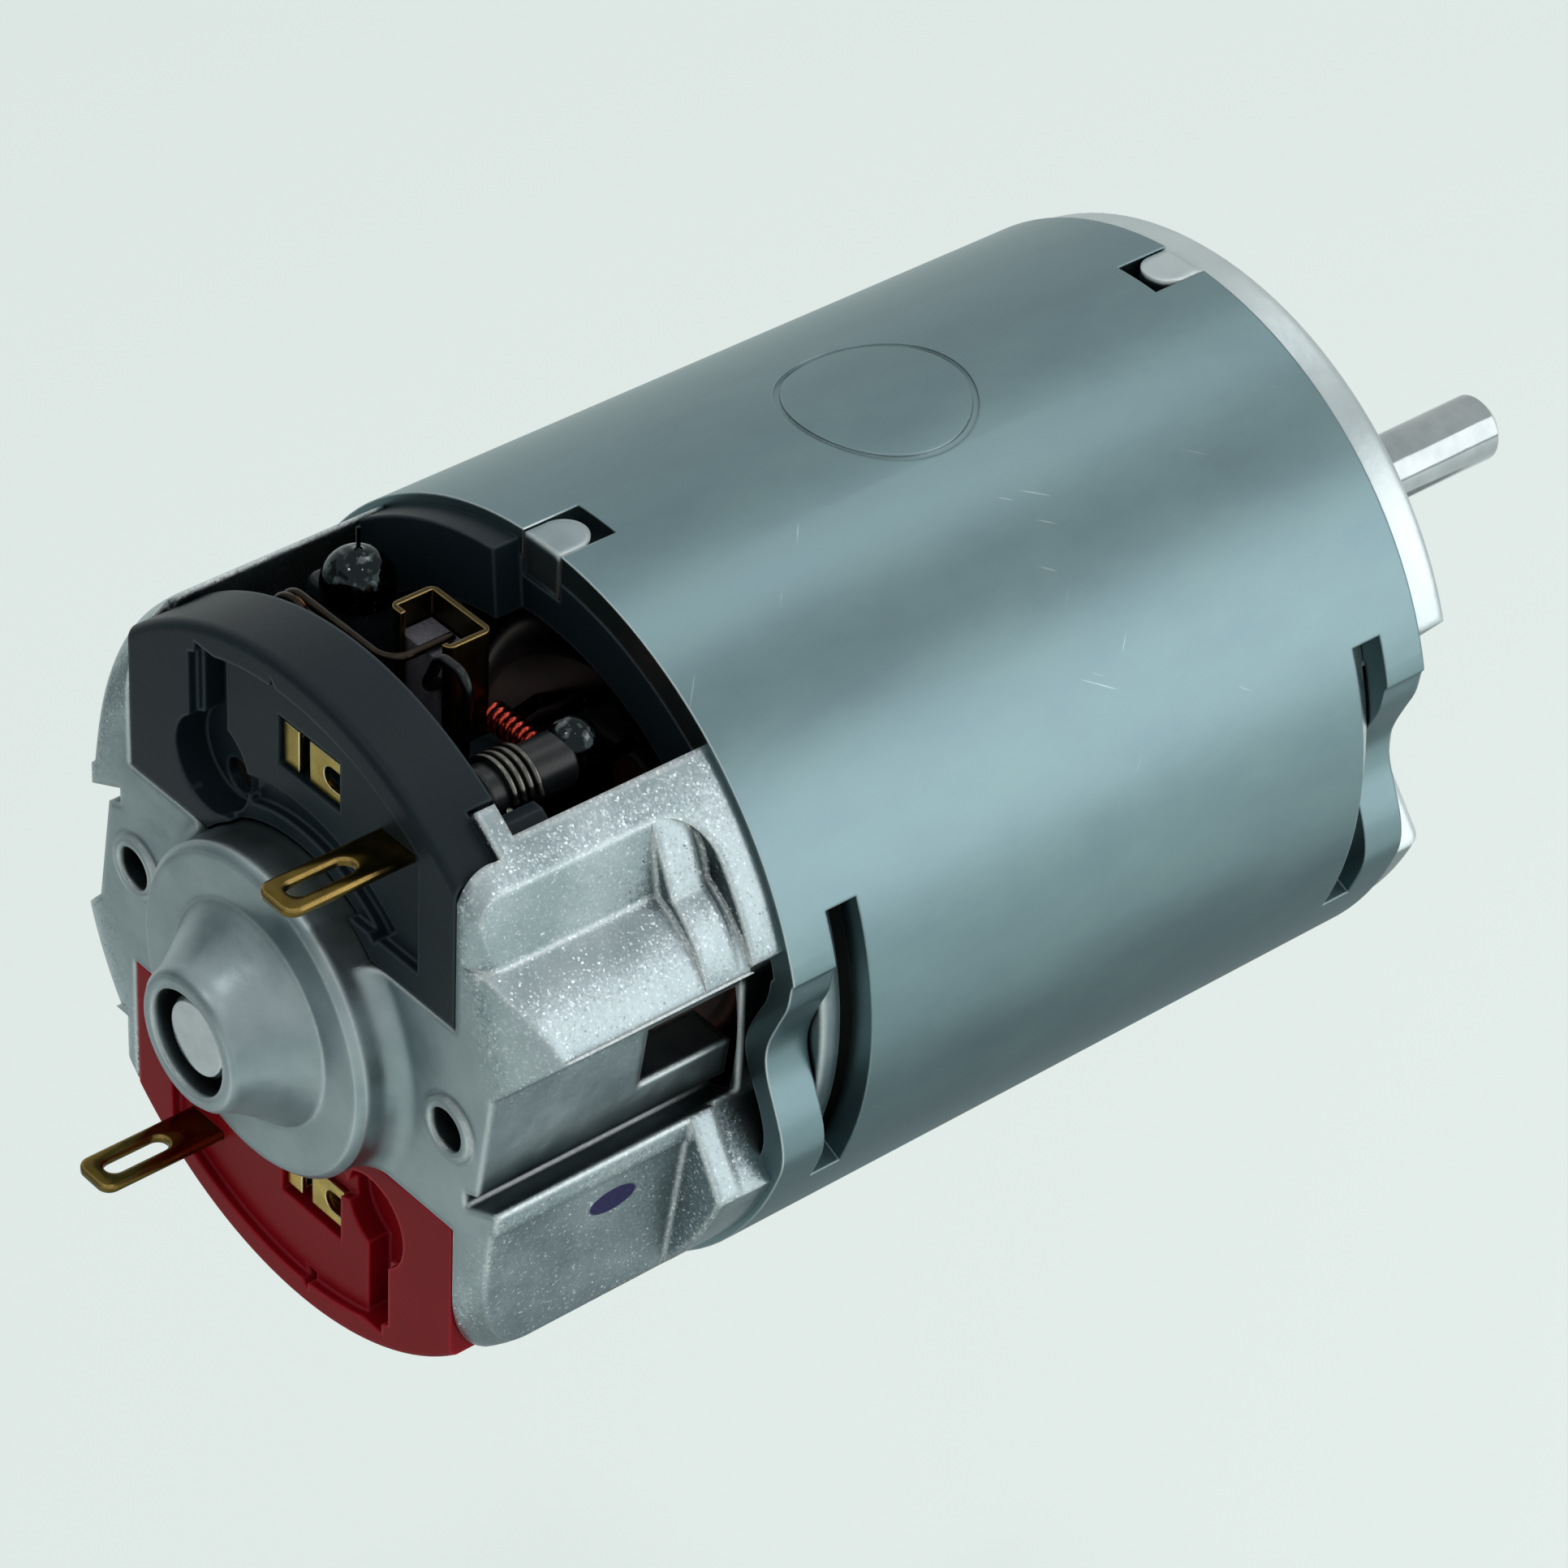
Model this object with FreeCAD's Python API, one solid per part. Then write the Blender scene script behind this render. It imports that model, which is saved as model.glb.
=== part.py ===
import FreeCAD, Part
import math
import os
from FreeCAD import Vector

# Small permanent-magnet DC motor with a deep-drawn steel can and two zinc end shields.
# Frame, in millimetres: the origin is the centre of the front mounting face, +Y runs out
# along the output shaft, +X is to the right and +Z is up, seen from the brush end.

# ---- can --------------------------------------------------------------------------------
CAN_DIAMETER = 42.0
CAN_WALL = 1.6
CAN_LENGTH = 43.6
NOTCH_WIDTH = 3.0
NOTCH_DEPTH = 3.5
CRIMP_STRIP = 2.7           # width of the rim strip between a crimp slot and the end of the can
CRIMP_SLOT_WIDTH = 2.0
CRIMP_SLOT_HALF_ANGLE = 24.0
CRIMP_DEPTH = 2.6           # how far the strip is pressed in
CRIMP_HALF_ANGLE = 18.5
STAMP_DIAMETER = 10.6       # plain circle stamped in the top of the can
STAMP_FROM_REAR = 21.9
STAMP_GROOVE = 0.35
STAMP_DEPTH = 0.15

# ---- fits and gaps ----------------------------------------------------------------------
FIT_GAP = 0.05              # radial gap of a part that seats in another
CLEAR_GAP = 0.15            # gap between parts that only pass each other
RUNNING_GAP = 0.02          # radial gap of the shaft in its bushes
AIR_GAP = 0.6
PAST = 1.0                  # a cut reaches this far past the face that it opens

# ---- shaft and bushes -------------------------------------------------------------------
SHAFT_DIAMETER = 4.0        # free end, from the shoulder out
JOURNAL_DIAMETER = 4.5      # the rest of the shaft, up to the shoulder that a pinion stops at
SHOULDER_STANDOFF = 0.2     # shoulder in front of the face of the pilot
SHAFT_OUT = 23.0            # free end, measured from the mounting face
SHAFT_REAR_RECESS = 0.55    # rear end of the shaft below the tip of the bearing boss
SHAFT_CHAMFER = 0.5
REAR_CHAMFER = 0.2          # of the shaft's end inside the bearing boss
BUSH_SPHERE_RADIUS = 4.6
BUSH_LENGTH = 6.2
BUSH_POCKET_RADIUS = 7.0
BUSH_HOLE_RADIUS = 2.95
FELT_LENGTH = 2.4
CLIP_THICKNESS = 0.4
CLIP_SLITS = 6
CLIP_SLIT_WIDTH = 0.7
CLIP_RIM = 1.26             # unslit rim of the clip
BUSH_POCKET_SETBACK = 0.9   # flat floor of the bush pocket, from the bush's centre

# ---- front end shield -------------------------------------------------------------------
FLANGE_THICKNESS = 2.5
SHIELD_INSET = 0.4          # both shields stand this far inside the can's outer surface
FLANGE_ROUND = 0.6
FRONT_SPIGOT_LENGTH = 5.0
SPIGOT_WALL = 2.0
PILOT_DIAMETER = 16.0
PILOT_HEIGHT = 3.4
PILOT_ROUND = 0.5
FRONT_HUB_DEPTH = 6.5
FRONT_HUB_WALL = 1.6
RIB_COUNT = 4
RIB_THICKNESS = 1.8
RIB_SETBACK = 1.5           # ribs end this far below the end of the hub
FRONT_BUSH_Y = -0.6
FRONT_HOLE_CIRCLE = 29.0
FRONT_HOLE_COUNT = 4
TAPPED_HOLE_RADIUS = 1.25
LUG_CLEARANCE = 0.15
LUG_LENGTH = 2.7
LUG_SINK = 0.1              # lug below the can's outer surface
LUG_ROOT = 1.0              # how far it goes into the spigot

# ---- rear end shield --------------------------------------------------------------------
HOLDER_REACH = 15.7         # rear faces of the brush holders, measured from the can
PILLAR_THICKNESS = 7.2      # from the outline to the flat beside a holder
PILLAR_STEP = 0.6           # step in that flat, which the holders seat on
BRIDGE_HALF_HEIGHT = 6.35
BRIDGE_THICKNESS = 3.2
DISC_RADIUS = 9.15
DISC_HEIGHT = 2.5
CONE_HEIGHT = 3.8
CONE_BASE_RADIUS = 6.2
CONE_TIP_RADIUS = 3.9
CONE_WAIST = 1.35           # power of the waisted curve
CONE_CHAMFER = 0.26
DISC_CHAMFER = 0.4
REAR_BUSH_REACH = 16.4
REAR_HOLE_SPACING = 26.0
REAR_HOLE_RADIUS = 1.25
REAR_HOLE_RIM = 1.8
REAR_HOLE_RIM_HEIGHT = 0.25
REAR_HOLE_DEPTH = 8.0
CORNER_DROP = 3.5           # rounding of a pillar's rear edge: inwards, and along the shaft
CORNER_LENGTH = 3.5
BAND_CORNER_DROP = 1.1      # the same at the band along the top of a pillar
BAND_CORNER_LENGTH = 2.2
RIM_BAND = 1.9              # full-height band of a pillar next to the can
RIM_GROOVE = 0.7            # groove beside it
STEP_LENGTH = 2.1           # step between the groove and the sunk panel
TOP_BAND_SPAN = 6.4         # degrees that the band along a pillar's top edge takes
SCOOP_DROP = 4.0            # wall of the scoop, from the band down to the crease
SCOOP_LEAN = 0.7            # how far that wall leans out on the way
SCOOP_CROWN = 0.45          # crown of the scoop's sloping floor
SCOOP_LIP = 0.3             # lip at the foot of the floor
SCOOP_CORNER = 2.6          # rounded corner between the wall and the rim band
STEP_SHARE = 0.5            # depth of the step and of the groove, as shares of the scoop's
GROOVE_SHARE = 0.8
SCOOP_END_ROUND = 1.5       # rounding from the scoop's wall into the rear face
BLOCK_EDGE_ANGLE = 20.0     # lower outer edge of a pillar's upper block
RIDGE_DEPTH = 5.3           # ridge along the channel, below the outline
RIDGE_Z = -2.9
GROOVE_FLOOR_DEPTH = 6.3    # floor of the groove beside the ridge, below the outline
GROOVE_SLOPE = 0.4
LOWER_BLOCK_TOP = -4.3
LOWER_RIB_INSET = 3.8       # rib along the lower block's top edge, below the outline
LOWER_RIB_TOP = -3.15
LOWER_RIB_HEIGHT = 1.3
LOWER_RIB_STEP = 0.35
LOWER_RIB_TURN = 3.4        # the rib turns down this far behind the can
LOWER_RIM_SLOPE = 1.7
LOWER_FACE_ANGLE = 48.0     # foot of the lower block's face, below the level of the shaft
CORE_POCKET_WALL = 2.2      # wall left where a block is cored out from inside
CORE_POCKET_DEPTH = 1.6
UPPER_POCKET_TOP = 9.2
LOWER_POCKET_FOOT = -10.5
WIRE_HOLE_FROM = 5.9        # the hole in the channel's floor, measured from the can
WIRE_HOLE_LOW = -0.5
WIRE_HOLE_HIGH = 3.4
DISC_FILLET = 1.2
FINGER_SPAN = 4.9           # degrees that the finger reaches over a holder
FINGER_ROOT = 1.5           # degrees that it goes into the pillar
FINGER_WIDTH = 1.2
FINGER_THICKNESS = 1.4
REAR_SPIGOT_LENGTH = 4.0
SPIGOT_ROOT = 3.2           # thickness of the spigot below the pillars

# ---- relief in both shields for the pressed strips --------------------------------------
RELIEF_HALF_HEIGHT = 7.4
RELIEF_CLEARANCE = 0.5      # floor of the relief below the pressed strip
RELIEF_FLOOR_HALF = 3.8

# ---- magnets ----------------------------------------------------------------------------
MAGNET_THICKNESS = 4.15
MAGNET_HALF_ANGLE = 58.0
MAGNET_REAR_GAP = 5.6       # from the rear end of the can
MAGNET_FRONT_GAP = 7.5
MAGNET_SPRING_THICKNESS = 0.6
MAGNET_SPRING_PLAY = 0.3    # degrees between a magnet's edge and the spring's leg
MAGNET_SPRING_MARGIN = 3.0  # the spring is this much shorter than the magnets at each end
MAGNET_SPRING_SHARE = 0.7   # height of the spring's legs as a share of the magnet's wall

# ---- armature ---------------------------------------------------------------------------
SLOT_COUNT = 12
CORE_REAR = 10.2            # from the rear end of the can
CORE_FRONT = 11.4           # from the front end of the can
SLOT_OPENING = 2.0
SLOT_BOTTOM_RADIUS = 6.6
TOOTH_TIP_THICKNESS = 1.3
TOOTH_WIDTH = 2.4
INSULATOR_THICKNESS = 0.8
COIL_CLEARANCE = 0.25       # between the wire in a slot and the slot's walls
END_TURN_LENGTH = 4.8
END_TURN_RADIUS = 12.9
END_TURN_BORE = 5.2
LEAD_RADIUS = 0.4
LEAD_START_RADIUS = 8.2     # where a lead leaves the end turns

# ---- commutator -------------------------------------------------------------------------
COMMUTATOR_RADIUS = 6.5
COMMUTATOR_LENGTH = 8.2
COMMUTATOR_FRONT = -2.2     # from the rear end of the can
SEGMENT_THICKNESS = 1.4
SEGMENT_SLIT = 0.4
RISER_LENGTH = 1.2
RISER_HEIGHT = 1.2
RISER_WIDTH = 1.5
HUB_OVERHANG = 0.5
SPACER_RADIUS = 3.0
WASHER_RADIUS = 3.6
WASHER_THICKNESS = 0.4

# ---- brush holders ----------------------------------------------------------------------
HOLDER_INSET = 0.6          # holders stand this far inside the shield's outline
HOLDER_WEB = 2.6
HOLDER_RIM_DEPTH = 4.2
HOLDER_RIM_WALL = 1.8
HOLDER_EDGE = 6.45          # height of a holder's straight inner edge above the shaft line
DISC_SLOT_INNER = 10.2      # curved recess that follows the bearing disc
DISC_SLOT_OUTER = 11.8
DISC_SLOT_FROM = 48.0
DISC_SLOT_TO = 112.0
DISC_SLOT_DEPTH = 1.2
FACE_RECESS_DEPTH = 0.6     # the rear face is sunk inside the rim
FACE_RIM = 1.6              # width of that rim
FACE_RECESS_FOOT = 1.5      # plain strip along the holder's straight edge
FACE_RECESS_LEFT = -8.2
FACE_RECESS_RIGHT = 10.4
HOLDER_EDGE_ROUND = 0.5
RIM_NOTCH_X = -1.4
RIM_NOTCH_SIZE = 1.0
KEYHOLE_X = -6.7
KEYHOLE_Z = 10.3
KEYHOLE_RADIUS = 2.7
KEYHOLE_SLOT_WIDTH = 1.9
KEYHOLE_TOP = 17.4
KEYHOLE_DEPTH = 2.0
PIN_HOLE_RADIUS = 1.0       # through hole low in the keyhole
PIN_HOLE_DROP = 1.5
WINDOW_LEFT = -1.6          # of the upper window; the lower one is its mirror image
WINDOW_RIGHT = 3.45
UPPER_WINDOW_Z = (13.2, 16.3)
LOWER_WINDOW_Z = (11.2, 14.3)
CHEEK_THICKNESS = 1.4
CHEEK_TOP = 13.0
CHEEK_FOOT = 8.3
LEDGE_TOP = 9.5
LEDGE_REACH = 4.6
WINDOW_FLOOR = 0.6          # web left in front of the window
CRADLE_WIDTH = 5.0
CRADLE_LENGTH = 2.7
CRADLE_FOOT = 2.9           # foot and top of the cradle, below and above the choke's line
CRADLE_TOP = 0.1
BRACKET_THICKNESS = 1.2

# ---- brushes and their springs ----------------------------------------------------------
BRUSH_REACH = 6.3           # brush centre line, measured from the can
SLEEVE_WIDTH = 4.8
SLEEVE_DEPTH = 2.8
SLEEVE_SHEET = 0.3
SLEEVE_SINK = 0.8           # top of the sleeve below the holder's outline
SLEEVE_FOOT = 7.8
SLEEVE_CORNER = 0.5
SLEEVE_SLOT_FROM = -1.4     # slot in the sleeve's rear wall for the spring and the pigtail
SLEEVE_SLOT_TO = 1.9
SLEEVE_SLOT_FOOT = 13.6
BRUSH_PLAY = 0.1
BRUSH_SINK = 1.6            # top of a new brush below the top of its sleeve
BRUSH_GAP = 0.05            # between the brush's hollow end and the commutator
SPRING_WIRE = 0.5
SPRING_TURNS = 2
SPRING_COIL_RADIUS = 1.3
SPRING_COIL_X = -7.0
SPRING_TIP_X = 0.2
SPRING_ARM_BEHIND = 3.3     # the arm passes this far behind the brush's centre line
SPRING_POST_GAP = 0.15
SPRING_PITCH = 0.55
SPRING_HOOK = 0.6           # the arm's tip ends this far in front of the brush's centre line
PIGTAIL_RADIUS = 0.3
PIGTAIL_BEND = 0.9
PIGTAIL_START_X = 1.3
PIGTAIL_START_DROP = 1.2    # below the top of the brush
PIGTAIL_BEHIND = 2.05       # the lead arches this far behind the brush's centre line
PIGTAIL_RISE_X = 2.6        # ends of the arch's top
PIGTAIL_FALL_X = 4.8
PIGTAIL_TOP = 19.2
PIGTAIL_FOOT_X = 4.2

# ---- terminals and suppression parts ----------------------------------------------------
TERMINAL_X = 8.0
TERMINAL_Z = 14.1
TERMINAL_WIDTH = 2.8
TERMINAL_THICKNESS = 0.5
TERMINAL_REACH = 6.9        # free blade behind the holder
TERMINAL_INNER = 4.3
TERMINAL_HOLE_WIDTH = 1.2
TERMINAL_HOLE_LENGTH = 3.9
TERMINAL_HOLE_PLACE = 2.9   # its middle, from the tip
TERMINAL_TIP = 0.8
CONTACT_SHEET = 0.3
CONTACT_SETBACK = 0.9       # of the contact clip below the holder's rear face
CONTACT_STRIPS = ((-1.45, -0.25), (0.65, 3.3))      # left and right sides of both strips
CONTACT_HEAD_GAP = 0.5      # from the top of the window
CONTACT_BACK = 0.8          # height of the strip that joins both at the window's floor
CONTACT_NOTCH_RADIUS = 0.65
CONTACT_NOTCH_X = 2.4
CHOKE_INSET = 4.3           # choke's line from the flat of the pillar
CHOKE_SINK = 4.7            # and below the holder's outline
CHOKE_RADIUS = 1.5
CHOKE_REAR = 10.9           # ends of the choke core, measured from the can
CHOKE_FRONT = 5.4
CHOKE_WIRE = 0.35
CHOKE_EDGE = 0.3
CHOKE_TURNS = 4
CHOKE_PITCH = 0.5
CHOKE_MARGIN = 0.8          # bare end of the core
WINDING_GAP = 0.03
COIL_POINTS = 8             # corners per turn of a coil's path
COIL_BEND = 0.97            # rounding of its corners, as a share of the coil's radius
COIL_RADIUS = 0.65          # small cross coil between the choke and the brush sleeve
COIL_WIRE = 0.3
COIL_TURNS = 8
COIL_GAP = 0.3              # between this coil and its neighbours
COIL_DROP = 0.9             # of this coil below the choke
COIL_REACH = 5.2
SOLDER_RADIUS = 1.4
SOLDER_RISE = 0.4
DOME_RADIUS = 1.9
DOME_DROP = 0.9
CAPACITOR_EDGE = 0.7
CAPACITOR_WIDTH = 4.6
CAPACITOR_DEPTH = 2.8
CAPACITOR_HEIGHT = 5.5
CAPACITOR_INSET = 4.1       # capacitor's middle from the flat of the pillar
CAPACITOR_REACH = 5.2
CAPACITOR_SINK = 4.1        # its top below the holder's outline
INSULATOR_ARC_THICKNESS = 1.5
INSULATOR_ARC_WIDTH = 3.05
INSULATOR_RAISED_FROM = 95.0
INSULATOR_RAISED_TO = 131.0
INSULATOR_RAISED_HEIGHT = 1.7
INSULATOR_RAISED_INSET = 0.2

# ---- worked out from the sizes above ----------------------------------------------------
CAN_RADIUS = CAN_DIAMETER / 2
CAN_BORE = CAN_RADIUS - CAN_WALL
SPIGOT_RADIUS = CAN_BORE - FIT_GAP
CAN_FRONT_Y = -FLANGE_THICKNESS
CAN_REAR_Y = CAN_FRONT_Y - CAN_LENGTH
SHAFT_RADIUS = SHAFT_DIAMETER / 2
JOURNAL_RADIUS = JOURNAL_DIAMETER / 2
SHIELD_RADIUS = CAN_RADIUS - SHIELD_INSET
RELIEF_FLOOR = CAN_BORE - CRIMP_DEPTH - RELIEF_CLEARANCE
PILLAR_FLAT = SHIELD_RADIUS - PILLAR_THICKNESS
PILLAR_INNER = PILLAR_FLAT - PILLAR_STEP
PILLAR_TOP_ANGLE = math.degrees(math.acos(PILLAR_INNER / SHIELD_RADIUS))
TOP_BAND_ANGLE = PILLAR_TOP_ANGLE - TOP_BAND_SPAN
FINGER_ANGLE = PILLAR_TOP_ANGLE + FINGER_SPAN
HOLDER_RADIUS = SHIELD_RADIUS - HOLDER_INSET
FACE_RECESS_RADIUS = HOLDER_RADIUS - FACE_RIM
HOLDER_REAR_Y = CAN_REAR_Y - HOLDER_REACH
DISC_REAR_Y = HOLDER_REAR_Y - DISC_HEIGHT
BOSS_TIP_Y = DISC_REAR_Y - CONE_HEIGHT
REAR_BUSH_Y = CAN_REAR_Y - REAR_BUSH_REACH
SHAFT_REAR_Y = BOSS_TIP_Y + SHAFT_REAR_RECESS
MAGNET_RADIUS = CAN_BORE - FIT_GAP
MAGNET_BORE = MAGNET_RADIUS - MAGNET_THICKNESS
MAGNET_LENGTH = CAN_LENGTH - MAGNET_REAR_GAP - MAGNET_FRONT_GAP
CORE_RADIUS = MAGNET_BORE - AIR_GAP
CORE_REAR_Y = CAN_REAR_Y + CORE_REAR
CORE_FRONT_Y = CAN_FRONT_Y - CORE_FRONT
COMMUTATOR_FRONT_Y = CAN_REAR_Y + COMMUTATOR_FRONT
COMMUTATOR_REAR_Y = COMMUTATOR_FRONT_Y - COMMUTATOR_LENGTH
SEGMENT_BORE = COMMUTATOR_RADIUS - SEGMENT_THICKNESS
BRUSH_Y = CAN_REAR_Y - BRUSH_REACH
HOLDER_WEB_Y = HOLDER_REAR_Y + HOLDER_WEB
HOLDER_RIM_Y = HOLDER_REAR_Y + HOLDER_RIM_DEPTH
FRONT_WASHER_Y = FRONT_BUSH_Y - BUSH_LENGTH / 2 - CLEAR_GAP - WASHER_THICKNESS
REAR_WASHER_Y = REAR_BUSH_Y + BUSH_LENGTH / 2 + CLEAR_GAP + WASHER_THICKNESS
SLEEVE_TOP = HOLDER_RADIUS - SLEEVE_SINK
BRUSH_TOP = SLEEVE_TOP - BRUSH_SINK
SPRING_ARM_Z = BRUSH_TOP + BRUSH_GAP + SPRING_WIRE / 2
SPRING_COIL_Z = SPRING_ARM_Z - SPRING_COIL_RADIUS
SPRING_FRONT_Y = BRUSH_Y - SPRING_ARM_BEHIND
CHOKE_X = PILLAR_INNER - CHOKE_INSET
CHOKE_Z = HOLDER_RADIUS - CHOKE_SINK
COIL_Z = CHOKE_Z - COIL_DROP
CAPACITOR_X = CAPACITOR_INSET - PILLAR_INNER
CAPACITOR_TOP = HOLDER_RADIUS - CAPACITOR_SINK
COIL_FROM = SLEEVE_WIDTH / 2 + COIL_GAP
COIL_TO = CHOKE_X - CHOKE_RADIUS - COIL_GAP
INSULATOR_ARC_INNER = SPIGOT_RADIUS - INSULATOR_ARC_WIDTH
INSULATOR_RAISED_RADIUS = SHIELD_RADIUS - INSULATOR_RAISED_INSET
FULL_TURN = 360.0
Y_AXIS = Vector(0, 1, 0)
ORIGIN = Vector(0, 0, 0)


# ---- building blocks --------------------------------------------------------------------
def rod(radius, y_from, y_to, x=0.0, z=0.0):
    """A cylinder along Y between two places."""
    low, high = sorted((y_from, y_to))
    return Part.makeCylinder(radius, high - low, Vector(x, low, z), Y_AXIS)


def ring(outer, inner, y_from, y_to):
    """A tube about the shaft line."""
    return rod(outer, y_from, y_to).cut(rod(inner, y_from, y_to))


def block(x_from, x_to, y_from, y_to, z_from, z_to):
    """A box between two corners."""
    size = Vector(x_to - x_from, y_to - y_from, z_to - z_from)
    return Part.makeBox(size.x, size.y, size.z, Vector(x_from, y_from, z_from))


def polar(radius, angle, y=0.0):
    """A point at a radius and an angle (degrees from +X towards +Z)."""
    turn = math.radians(angle)
    return Vector(radius * math.cos(turn), y, radius * math.sin(turn))


def turned(profile):
    """A solid of revolution about the shaft line, from (radius, y) points."""
    points = [Vector(radius, y, 0) for radius, y in profile]
    face = Part.Face(Part.makePolygon(points + points[:1]))
    return face.revolve(ORIGIN, Y_AXIS, FULL_TURN)


def prism(points, y_from, y_to):
    """A solid with a polygon of (x, z) points as its section."""
    corners = [Vector(x, y_from, z) for x, z in points]
    face = Part.Face(Part.makePolygon(corners + corners[:1]))
    return face.extrude(Vector(0, y_to - y_from, 0))


def arc_edge(radius, angle_from, angle_to, y):
    middle = (angle_from + angle_to) / 2
    ends = [polar(radius, angle, y) for angle in (angle_from, middle, angle_to)]
    return Part.Arc(*ends).toShape()


def corner_arc(start, sharp, end):
    """A quarter turn from start to end that rounds off, or fills, a sharp corner."""
    halfway = (start + end) * 0.5
    middle = halfway + (sharp - halfway) * math.tan(math.radians(22.5))
    return Part.Arc(start, middle, end).toShape()


def sector(outer, inner, angle_from, angle_to, y_from, y_to):
    """A piece of a tube between two angles."""
    outside = arc_edge(outer, angle_from, angle_to, y_from)
    inside = arc_edge(inner, angle_to, angle_from, y_from)
    side_a = Part.makeLine(polar(outer, angle_to, y_from), polar(inner, angle_to, y_from))
    side_b = Part.makeLine(polar(inner, angle_from, y_from), polar(outer, angle_from, y_from))
    face = Part.Face(Part.Wire([outside, side_a, inside, side_b]))
    return face.extrude(Vector(0, y_to - y_from, 0))


def turned_about(shape, angle):
    """A copy turned about the shaft line."""
    copy = shape.copy()
    copy.rotate(ORIGIN, Y_AXIS, -angle)
    return copy


def opposite(shape):
    """The same piece on the other side of the shaft line."""
    return turned_about(shape, 180.0)


def mirrored(shape):
    """The mirror image of a piece, left for right."""
    return shape.mirror(ORIGIN, Vector(1, 0, 0))


def pair(shape):
    """A piece and the same piece on the other side."""
    return shape.fuse(opposite(shape))


def wire_rod(points, radius, bend):
    """A bent round wire: straight runs with a rounded corner at each inner point."""
    places = [Vector(*point) for point in points]
    path = rounded_path(places, bend)
    section = Part.makeCircle(radius, places[0], places[1] - places[0])
    return path.makePipeShell([Part.Wire(section)], True, True)


def coil(wire_radius, radius, pitch, turns):
    """A coil of round wire about the Z axis, from the origin up: short runs and tangent arcs."""
    corner_radius = radius / math.cos(math.pi / COIL_POINTS)
    points = []
    for index in range(round(turns * COIL_POINTS) + 1):
        turn = 2 * math.pi * index / COIL_POINTS
        climb = pitch * index / COIL_POINTS
        points.append((corner_radius * math.cos(turn), corner_radius * math.sin(turn), climb))
    return wire_rod(points, wire_radius, COIL_BEND * radius)


def lay_along_y(shape, x, y, z):
    """Turns a piece made along Z to lie along Y, and puts it in its place."""
    shape.rotate(ORIGIN, Vector(1, 0, 0), -90.0)
    shape.translate(Vector(x, y, z))
    return shape


def rounded_path(points, bend):
    """A path of straight runs joined by tangent arcs."""
    edges = []
    start = points[0]
    for index in range(1, len(points) - 1):
        corner = points[index]
        back = (points[index - 1] - corner).normalize()
        ahead = (points[index + 1] - corner).normalize()
        turn = math.pi - back.getAngle(ahead)
        cut = bend * math.tan(turn / 2)
        enter = corner + back * cut
        leave = corner + ahead * cut
        middle_way = (back + ahead).normalize()
        centre = corner + middle_way * (bend / math.cos(turn / 2))
        middle = centre - middle_way * bend
        edges.append(Part.makeLine(start, enter))
        edges.append(Part.Arc(enter, middle, leave).toShape())
        start = leave
    edges.append(Part.makeLine(start, points[-1]))
    return Part.Wire(edges)


def round_edges(shape, radius, wanted):
    """Rounds the edges that the test picks, as a caster or a press would."""
    edges = [edge for edge in shape.Edges if wanted(edge)]
    return shape.makeFillet(radius, edges) if edges else shape


# ---- can --------------------------------------------------------------------------------
def crimp_curve(radius, y):
    """The pressed strip's line: the can's circle with one smooth dent at 0 degrees."""
    steps = 12
    points = []
    for step in range(steps + 1):
        angle = CRIMP_HALF_ANGLE * (2 * step / steps - 1)
        dent = CRIMP_DEPTH * (1 + math.cos(math.pi * angle / CRIMP_HALF_ANGLE)) / 2
        points.append(polar(radius - dent, angle, y))
    turn = math.radians(CRIMP_HALF_ANGLE)
    at_start = Vector(math.sin(turn), 0, math.cos(turn))
    at_end = Vector(-math.sin(turn), 0, math.cos(turn))
    curve = Part.BSplineCurve()
    curve.interpolate(points, InitialTangent=at_start, FinalTangent=at_end)
    return curve.toShape()


def dented_disc(radius, y_from, y_to):
    """A disc with the crimp dents at both sides."""
    right = crimp_curve(radius, y_from)
    left = turned_about(right, 180.0)
    over = arc_edge(radius, CRIMP_HALF_ANGLE, 180 - CRIMP_HALF_ANGLE, y_from)
    under = turned_about(over, 180.0)
    face = Part.Face(Part.Wire([right, over, left, under]))
    return face.extrude(Vector(0, y_to - y_from, 0))


def crimp_end(y_end, inward):
    """One end of the can: pressed strip, then the crimp slots."""
    y_slot = y_end + inward * CRIMP_STRIP
    y_full = y_slot + inward * CRIMP_SLOT_WIDTH
    strip = dented_disc(CAN_RADIUS, y_end, y_slot).cut(dented_disc(CAN_BORE, y_end, y_slot))
    slotted = ring(CAN_RADIUS, CAN_BORE, y_slot, y_full)
    low, high = sorted((y_slot, y_full))
    half = CRIMP_SLOT_HALF_ANGLE
    opening = sector(CAN_RADIUS + PAST, CAN_BORE - PAST, -half, half, low, high)
    return strip.fuse(slotted.cut(pair(opening)))


def notch(y_end, inward, width, depth):
    """The square notch that locates a shield's lug, at the top of the can."""
    low, high = sorted((y_end - inward, y_end + inward * depth))
    return block(-width / 2, width / 2, low, high, CAN_BORE - PAST, CAN_RADIUS + PAST)


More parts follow.
